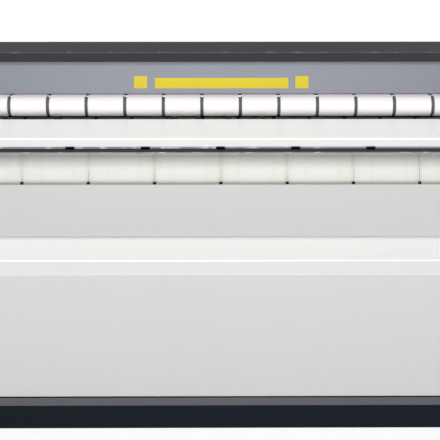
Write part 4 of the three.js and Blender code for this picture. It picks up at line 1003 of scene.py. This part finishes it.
louvreLook = {
    "columns": 5, "rows": 4, "across": 320, "down": 45, "topZ": 520, "y": 538.5, "half": 112,
    "path": [(8.5, 0.8), (7.5, -1.2), (-5.5, -6)], "bend": 1.2, "skin": 1.2, "steps": 4, "edge": 0.2,
}
blade = foldedMesh("bladeShape", louvreLook)
spec = {"Shape": pattern(blade), "Columns": louvreLook["columns"], "Rows": louvreLook["rows"]}
spec.update({"Across": louvreLook["across"] * mm, "Down": louvreLook["down"] * mm})
blades = grow("louvreBlades", "grid", "charcoal_paint", **spec)
middle = louvreLook["topZ"] - louvreLook["down"] * (louvreLook["rows"] - 1) / 2
place = Matrix.Translation(Vector((0, louvreLook["y"], middle)) * mm)
blades.transform(place @ Matrix.Rotation(math.pi / 2, 4, "X"))
piece("louvreBlades", blades, "charcoal_paint")

screwLook = {
    "rearX": (-1150, -905, -860, -430, 0, 430, 860, 905, 1150), "rearZ": (100, 985),
    "eaveX": (-860, -430, 0, 430, 860), "eaveZ": 1021, "sideX": 1165,
    "sides": ((-540, 930), (-540, 620), (-395, 92), (520, 92), (520, 985), (-190, 1105), (150, 1080)),
    "profile": [(0, 0), (0, 4.8), (1.1, 4.7), (2, 3.6), (2.3, 2.2), (2.3, 1.7), (1.2, 1.7), (1.2, 0)],
}
spots = [((x, covers["rearY"], z), (0, 1, 0)) for x in screwLook["rearX"] for z in screwLook["rearZ"]]
spots += [((x, covers["rearY"], screwLook["eaveZ"]), (0, 1, 0)) for x in screwLook["eaveX"]]
for _, side in hands:
    spots += [((side * screwLook["sideX"], y, z), (side, 0, 0)) for y, z in screwLook["sides"]]
screw = latheMesh("screwShape", screwLook["profile"], sides=24, bevel=0.15)
addScatter("coverScrews", screw, "plain_steel", spots, turn=6.283, seed=7)
print("cabinets and covers made")

# Bearings of the cylinder
bearingLook = {
    "x": 894, "bolts": 6, "boltRing": 88, "boltX": 904.15, "firstBolt": 0.524,
    "head": (1, 5.6, 6.2), "washer": (0, 1.2, 6.8),  # low, high and radius
    "profile": [
        (0.3, 60.6), (0.3, 95), (9, 95), (10.1, 93.9), (10.1, 83), (11.6, 81), (18.6, 81), (20, 79.6),
        (20, 67), (17.6, 64.5), (17.6, 60.6), (0.3, 60.6),
    ],
}
head = rodMesh("head", *bearingLook["head"], sides=6, bevel=0.5)
washer = rodMesh("washer", *bearingLook["washer"], sides=28, bevel=0.3)
bolt = joinMeshes("boltShape", [head, washer])
circle = (bearingLook["bolts"], bearingLook["boltRing"], bearingLook["firstBolt"])
bolts = ringOf("bolts", bolt, "plain_steel", *circle)
for name, side in hands:
    ring = latheMesh("ring", bearingLook["profile"], sides=96, bevel=0.4)
    turnTo(ring, (side, 0, 0), (side * bearingLook["x"], *drumLook["axis"]))
    piece(f"bearingRing_{name}", ring, "dark_iron", f"cylinder_bearing_{name}")
    place = (side * bearingLook["boltX"], *drumLook["axis"])
    piece(f"bearingBolts_{name}", turnTo(bolts.copy(), (side, 0, 0), place), "plain_steel")

# Chain drive
driveLook = {
    "x": -922, "half": 5, "pitch": 19.05, "motor": (200, 300),
    "teeth": (36, 12), "bores": (60.6, 13.5), "shaft": 14, "shaftEnds": (-977, -916),
    "tooth": [(-0.5, -5.2), (-0.33, -4.836), (-0.24, -2.2), (-0.14, 2.2), (-0.07, 3.4)],  # (share, height)
}


def toothedMesh(name, teeth, bore):  # a sprocket's disc with rounded teeth, its axis along X
    look = driveLook
    pitch = look["pitch"] / (2 * math.sin(math.pi / teeth))
    shape = look["tooth"] + [(-share, reach) for share, reach in reversed(look["tooth"][1:])]
    bm = bmesh.new()
    rings = [[], [], [], []]
    for tooth in range(teeth):
        for share, reach in shape:
            angle = 2 * math.pi * (tooth + share) / teeth
            for ring, radius, x in zip(rings, (pitch + reach, pitch + reach, bore, bore), (-1, 1, 1, -1)):
                spot = (look["x"] + x * look["half"], radius * math.cos(angle), radius * math.sin(angle))
                ring.append(bm.verts.new(Vector(spot) * mm))
    for ring, ahead in zip(rings, rings[1:] + rings[:1]):
        wallBetween(bm, ring, ahead)
    return solidOf(bm, name, 0.5, 2, 60, lambda e: abs(e.verts[0].co.x - e.verts[1].co.x) < 1e-7)


wheel, pinion = (toothedMesh("wheel", *size) for size in zip(driveLook["teeth"], driveLook["bores"]))
wheel.transform(Matrix.Translation(Vector((0, *drumLook["axis"])) * mm))
piece("cylinderWheel", wheel, "dark_iron", "cylinder_sprocket", body="cylinder_body")
shaft = rodMesh("shaft", *driveLook["shaftEnds"], driveLook["shaft"], sides=40, bevel=0.6)
turnTo(shaft, (1, 0, 0), (0, 0, 0))
pinion = joinMeshes("motorPinion", [pinion, shaft])
pinion.transform(Matrix.Translation(Vector((0, *driveLook["motor"])) * mm))
piece("motorPinion", pinion, "dark_iron", "motor_sprocket", body="motor_sprocket_body")

chainLook = {
    "drum": 117.4, "motor": 45.4, "end": 4, "waist": 3.1, "shoulder": 4, "steps": 8,
    "Inner": {"plate": (5, 6.2), "bar": 3.6, "half": 4.9},  # side plates joined by rollers
    "Outer": {"plate": (6.4, 7.6), "bar": 2.2, "half": 8},  # side plates joined by pins
}


def linkShape(name, look):  # two side plates and what joins their ends
    reach = driveLook["pitch"] / 2
    end, waist, shoulder, steps = (chainLook[key] for key in ("end", "waist", "shoulder", "steps"))
    outline = []
    for side in (1, -1):
        for k in range(steps + 1):
            angle = math.radians(k * 180 / steps - 90 * side)
            outline.append((side * reach + end * math.cos(angle), end * math.sin(angle)))
        outline += [(side * shoulder, side * waist), (-side * shoulder, side * waist)]
    near, far = look["plate"]
    parts = [extrudeMesh("plate", outline, low, high, 0.2, 50) for low, high in ((near, far), (-far, -near))]
    for place in (-reach, reach):
        rod = rodMesh("rod", -look["half"], look["half"], look["bar"], sides=16, bevel=0.3)
        parts.append(turnTo(rod, (1, 0, 0), (0, place, 0)))
    return joinMeshes(name, parts)


wheels = [(*drumLook["axis"], chainLook["drum"], 1), (*driveLook["motor"], chainLook["motor"], 1)]
around = [(y, z) for y, z, _, _ in loopRound(wheels, 3)]
length = sum(math.dist(a, b) for a, b in zip(around, around[1:] + around[:1]))
edges = [(i, (i + 1) % len(around)) for i in range(len(around))]
line = bpy.data.meshes.new("chainLine")
line.from_pydata([(0, y * mm, z * mm) for y, z in around], edges, [])
spec = {label: pattern(linkShape(label, chainLook[label])) for label in ("Inner", "Outer")}
spec["Links"] = 2 * round(length / driveLook["pitch"] / 2)
links = grow("chainLinks", "chain", "dark_iron", line, **spec)
links.transform(Matrix.Translation((driveLook["x"] * mm, 0, 0)))
piece("chainLinks", links, "dark_iron", "drive_chain")


def ribbed(first, pitch, count, wide, high, low):  # square grooves along a turned case
    line = []
    for k in range(count):
        start = first + k * pitch
        line += [(start, high), (start, low), (start + wide, low), (start + wide, high)]
    return line


# Motors
motorLook = {
    "place": (-985, 141, 300), "fins": 22, "finRing": 53.5,
    "fin": {"low": (0, -1, 20), "high": (6, 1, 148), "bevel": 0.7},
    "terminal": {"low": (-1013, 42, 350), "high": (-957, 108, 386), "bevel": 3},
    "cowl": [(153, 0), (153, 59), (194, 59), (201, 53), (201, 16), (198, 14), (198, 0)],
}
softCopy("gear_motor", "gearMotor", "motor_paint", 1.5)
fin = boxMesh("finShape", **motorLook["fin"])
fins = ringOf("fins", fin, "motor_paint", motorLook["fins"], motorLook["finRing"])
cowl = latheMesh("cowl", motorLook["cowl"], sides=72, bevel=0.8)
terminal = boxMesh("terminal", **motorLook["terminal"])
parts = [turnTo(mesh, (0, -1, 0), motorLook["place"]) for mesh in (fins, cowl)] + [terminal]
piece("gearMotorCase", joinMeshes("gearMotorCase", parts), "motor_paint")

motorCases = {
    "feedMotorCase": {
        "node": "feed_motor", "x": -894, "way": -1, "sides": 64, "bevel": 0.3,
        "profile": [
            (20.3, 0), (20.3, 12.6), (0.3, 12.6), (0.3, 32), (8, 32), *ribbed(16, 9, 10, 3.5, 32, 28.6),
            (110, 32), (116.3, 27), (116.3, 0),
        ],
    },
    "fanMotorCase": {
        "node": "fan_motor", "x": 1040.3, "way": 1, "sides": 72, "bevel": 0.4,
        "profile": [
            (21, 0), (21, 8.7), (0, 8.7), (0, 50), (6, 50), *ribbed(12, 9, 8, 3.5, 50, 45.5),
            (88, 50), (95, 44), (95, 0),
        ],
    },
}
for name, look in motorCases.items():
    case = latheMesh(name, look["profile"], look["sides"], look["bevel"])
    turnTo(case, (look["way"], 0, 0), (look["x"], *axisOf(look["node"]).yz))
    piece(name, case, "motor_paint", look["node"])
print("drive made")

# Exhaust fan
softCopy("fan_housing", "fanHousing", "plain_steel", 0.9)
fanLook = {
    "disc": [(1015, 0), (1015, 85), (1019, 85), (1019, 15), (1023, 12), (1023, 8), (1060, 8), (1060, 0)],
    "ring": [(930, 71), (930, 85), (934, 85), (934, 71), (930, 71)],
    "blade": {"low": (0, -0.8, 931), "high": (11.5, 0.8, 1018), "bevel": 0.5, "segments": 2},
    "blades": 12, "bladeRing": 72, "lean": 24,
}
disc, ring = (latheMesh(part, fanLook[part], sides=96, bevel=0.4) for part in ("disc", "ring"))
blade = boxMesh("impellerBlade", **fanLook["blade"])
blade.transform(Matrix.Rotation(math.radians(fanLook["lean"]), 4, "Z"))
blades = ringOf("blades", blade, "plain_steel", fanLook["blades"], fanLook["bladeRing"])
impeller = joinMeshes("impellerWheel", [disc, ring, blades])
turnTo(impeller, (1, 0, 0), (0, *axisOf("fan_impeller").yz))
piece("impellerWheel", impeller, "plain_steel", "fan_impeller", body="fan_body")

# Electrics, cable gland and main switch
boxLook = {
    "door": {"low": (1074, -360, 260), "high": (1077, -160, 690), "bevel": 1.3},
    "lock": [(0, 0), (0, 10), (3, 9), (3, 4), (2, 3.6), (2, 0)],
    "lockPlace": (1077, -180, 475),
}
softCopy("electrical_box", "electricalBox", "box_grey", 2.0)
piece("electricalDoor", boxMesh("electricalDoor", **boxLook["door"]), "box_grey")
lock = turnTo(latheMesh("boxLock", boxLook["lock"], sides=32, bevel=0.4), (1, 0, 0), boxLook["lockPlace"])
piece("electricalLock", lock, "black_plastic")

glandLook = {
    "place": (1027, 540, 180),
    "sleeve": [(-24.5, 6), (-24.5, 14), (0.3, 14), (0.3, 6), (-24.5, 6)],
    "nut": [(0.3, 10), (0.3, 20), (9, 20), (9, 10), (0.3, 10)],
    "dome": [(8, 6), (8, 16.5), (17, 16), (21, 12.5), (22, 10), (22, 6), (8, 6)],
}
parts = [
    latheMesh(part, glandLook[part], sides, bevel)
    for part, sides, bevel in (("sleeve", 40, 0.4), ("nut", 6, 0.7), ("dome", 40, 0.4))
]
gland = turnTo(joinMeshes("glandTurned", parts), (0, 1, 0), glandLook["place"])
piece("glandTurned", gland, "black_plastic", "cable_gland")

switchLook = {
    "place": (1027, 540, 620),
    "plate": [(-10.5, 0), (-10.5, 6), (0.3, 6), (0.3, 24), (7, 24), (12, 21.5), (13, 19), (13, 0)],
    "grip": {"low": (1021, 552, 598), "high": (1033, 566, 642), "bevel": 2.4},
}
plate = latheMesh("switchPlate", switchLook["plate"], sides=64, bevel=0.4)
turnTo(plate, (0, 1, 0), switchLook["place"])
piece("switchPlate", plate, "yellow_plastic", "main_switch", body="main_switch_body")
grip = boxMesh("switchGrip", **switchLook["grip"])
piece("switchGrip", grip, "red_plastic", "main_switch", body="main_switch_body")

# Controls on the slopes of the end cabinets
consoleLook = {"middleX": 1027, "low": (-575, 972), "high": (-175.011, 1137.5), "stopUp": 80, "panelUp": 210}


def onConsole(mesh, side, x, up):  # a mesh made round Z, set on the slope
    (lowY, lowZ), (highY, highZ) = consoleLook["low"], consoleLook["high"]
    tilt = math.atan2(highZ - lowZ, highY - lowY)
    foot = Matrix.Translation(Vector((side * consoleLook["middleX"], lowY, lowZ)) * mm)
    mesh.transform(foot @ Matrix.Rotation(tilt, 4, "X") @ Matrix.Translation(Vector((x, up, 0)) * mm))
    return mesh


stopLook = {
    "head": [
        (-8, 0), (-8, 11), (19.5, 11), (19.5, 19.2), (20.3, 20), (26.5, 20), (28.4, 18.5), (30.2, 15.9),
        (31.6, 12.8), (32.3, 9.5), (32.5, 6), (32.5, 0),
    ],
    "collar": [
        (0.3, 11.7), (0.3, 28), (10.5, 28), (12.6, 27.2), (14, 25.2), (14, 21), (12.4, 19.6), (12.4, 11.7),
        (0.3, 11.7),
    ],
}
for name, side in hands:
    head, collar = (
        onConsole(latheMesh("stop", stopLook[part], sides=64, bevel=0.3), side, 0, consoleLook["stopUp"])
        for part in ("head", "collar")
    )
    piece(f"stopHead_{name}", head, "red_plastic", f"emergency_stop_{name}", body=f"{name}_stop_body")
    piece(f"stopRing_{name}", collar, "yellow_plastic", f"stop_collar_{name}")

softCopy("control_panel", "controlPanel", "box_grey", 1.0)
displayLook = {"low": (-78, 2, 5), "high": (78, 68, 7.2), "bevel": 1.2}
display = onConsole(boxMesh("displayGlass", **displayLook), 1, 0, consoleLook["panelUp"])
piece("displayGlass", display, "dark_gloss")
buttonLook = {
    "aside": {"start": -35, "stop": 35}, "up": 160,
    "finish": {"start": "green_plastic", "stop": "red_plastic"},
    "cap": [
        (-8, 0), (-8, 6), (8.8, 6), (8.8, 13.4), (9.5, 14), (12.6, 14), (13.5, 12.8), (13.8, 10), (13.2, 7),
        (13, 0),
    ],
    "bezel": [(5.3, 14.7), (5.3, 18), (7.7, 17.6), (8.3, 16.8), (8.3, 14.7), (5.3, 14.7)],
}
for name, aside in buttonLook["aside"].items():
    cap, bezel = (
        onConsole(latheMesh(part, buttonLook[part], sides=56, bevel=0.2), 1, aside, buttonLook["up"])
        for part in ("cap", "bezel")
    )
    piece(f"{name}Cap", cap, buttonLook["finish"][name], f"{name}_button", body=f"{name}_button_body")
    piece(f"{name}Bezel", bezel, "black_plastic")
print("controls made")

for lender in lent:
    bpy.data.objects.remove(lender)

# The studio: floor, world and lamps
studio = {
    "floor": 90, "floorShade": tone(240, 240, 240), "glowNear": 0.77, "glowFar": 1.0, "near": 2.0, "far": 5.0,
    "inset": 0.03, "fill": 0.12,
}
lamps = {  # place, aim, size in metres and power in watts
    "front": ((0.0, -6.1, 2.2), (0.0, -0.2, 0.85), (3.2, 0.9), 226),
    "slant": ((-0.5, -6.2, 8.2), (0.0, -0.3, 0.8), (6.4, 0.9), 625),
    "rearLeft": ((-4.5, 4.2, 2.4), (-0.3, 0.5, 0.6), (2.5, 1.5), 170),
    "rearRight": ((4.5, 4.2, 2.4), (0.3, 0.5, 0.6), (2.5, 1.5), 170),
    "left": ((-6.0, 0.3, 2.6), (-1.1, 0.0, 0.6), (3.0, 1.6), 45),
    "right": ((6.0, 0.3, 2.6), (1.1, 0.0, 0.6), (3.0, 1.6), 45),
}


class Studio(Net):  # the tree of the floor's material or of the world
    def __init__(self, owner, output):
        owner.use_nodes = True
        super().__init__(owner.node_tree)
        self.tree.nodes.clear()
        self.end = self.tree.nodes.new(output).inputs["Surface"]

    def backdrop(self):  # 1 for what the camera sees, directly, in a gloss or through glass
        path = self.node("ShaderNodeLightPath")
        bent = self.maths("MAXIMUM", path.out("Is Glossy Ray"), path.out("Is Transmission Ray"))
        return self.maths("MAXIMUM", path.out("Is Camera Ray"), bent)


def makeFloor(look):
    bm = bmesh.new()
    bmesh.ops.create_grid(bm, x_segments=8, y_segments=8, size=look["floor"])
    mesh = bpy.data.meshes.new("floor")
    bm.to_mesh(mesh)
    bm.free()
    material = bpy.data.materials.new("floorWhite")
    net = Studio(material, "ShaderNodeOutputMaterial")
    x, y, _ = net.split(net.node("ShaderNodeTexCoord").out("Object"))
    away = (x * x + y * y) ** 0.5
    low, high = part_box("base_frame")  # under the machine the floor is only as light as what reaches it
    middle, half = (low + high) / 2, (high - low) / 2
    under = (abs(x - middle.x) < half.x - look["inset"]) * (abs(y - middle.y) < half.y - look["inset"])
    glow = net.spread(away, look["glowNear"], look["glowFar"], look["near"], look["far"]) * (1 - under)
    plain = net.node("ShaderNodeBsdfDiffuse", None, {"Color": look["floorShade"]})
    white = net.node("ShaderNodeEmission", None, {"Color": (1, 1, 1, 1), "Strength": 1.0})
    net.feed(net.end, net.node("ShaderNodeMixShader", None, {0: net.backdrop() * glow, 1: plain, 2: white}))
    mesh.materials.append(material)
    floor = bpy.data.objects.new("floor", mesh)
    scene.collection.objects.link(floor)
    floor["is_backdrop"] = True


def makeWorld(look):
    scene.world = bpy.data.worlds.new("studio")
    net = Studio(scene.world, "ShaderNodeOutputWorld")
    seen = net.backdrop()
    strength = seen + (1 - seen) * look["fill"]
    net.feed(net.end, net.node("ShaderNodeBackground", None, {"Color": (1, 1, 1, 1), "Strength": strength}))


def makeLamp(name, place, aim, size, power):
    light = bpy.data.lights.new(name, "AREA")
    light.shape = "RECTANGLE"
    light.size, light.size_y = size
    light.energy = power
    lamp = bpy.data.objects.new(name, light)
    lamp.location = place
    lamp.rotation_euler = (Vector(aim) - Vector(place)).to_track_quat("-Z", "Y").to_euler()
    scene.collection.objects.link(lamp)


makeFloor(studio)
makeWorld(studio)
for name, setting in lamps.items():
    makeLamp(name, *setting)
scene.view_settings.view_transform = "Standard"
print("studio lit")

low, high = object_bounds()
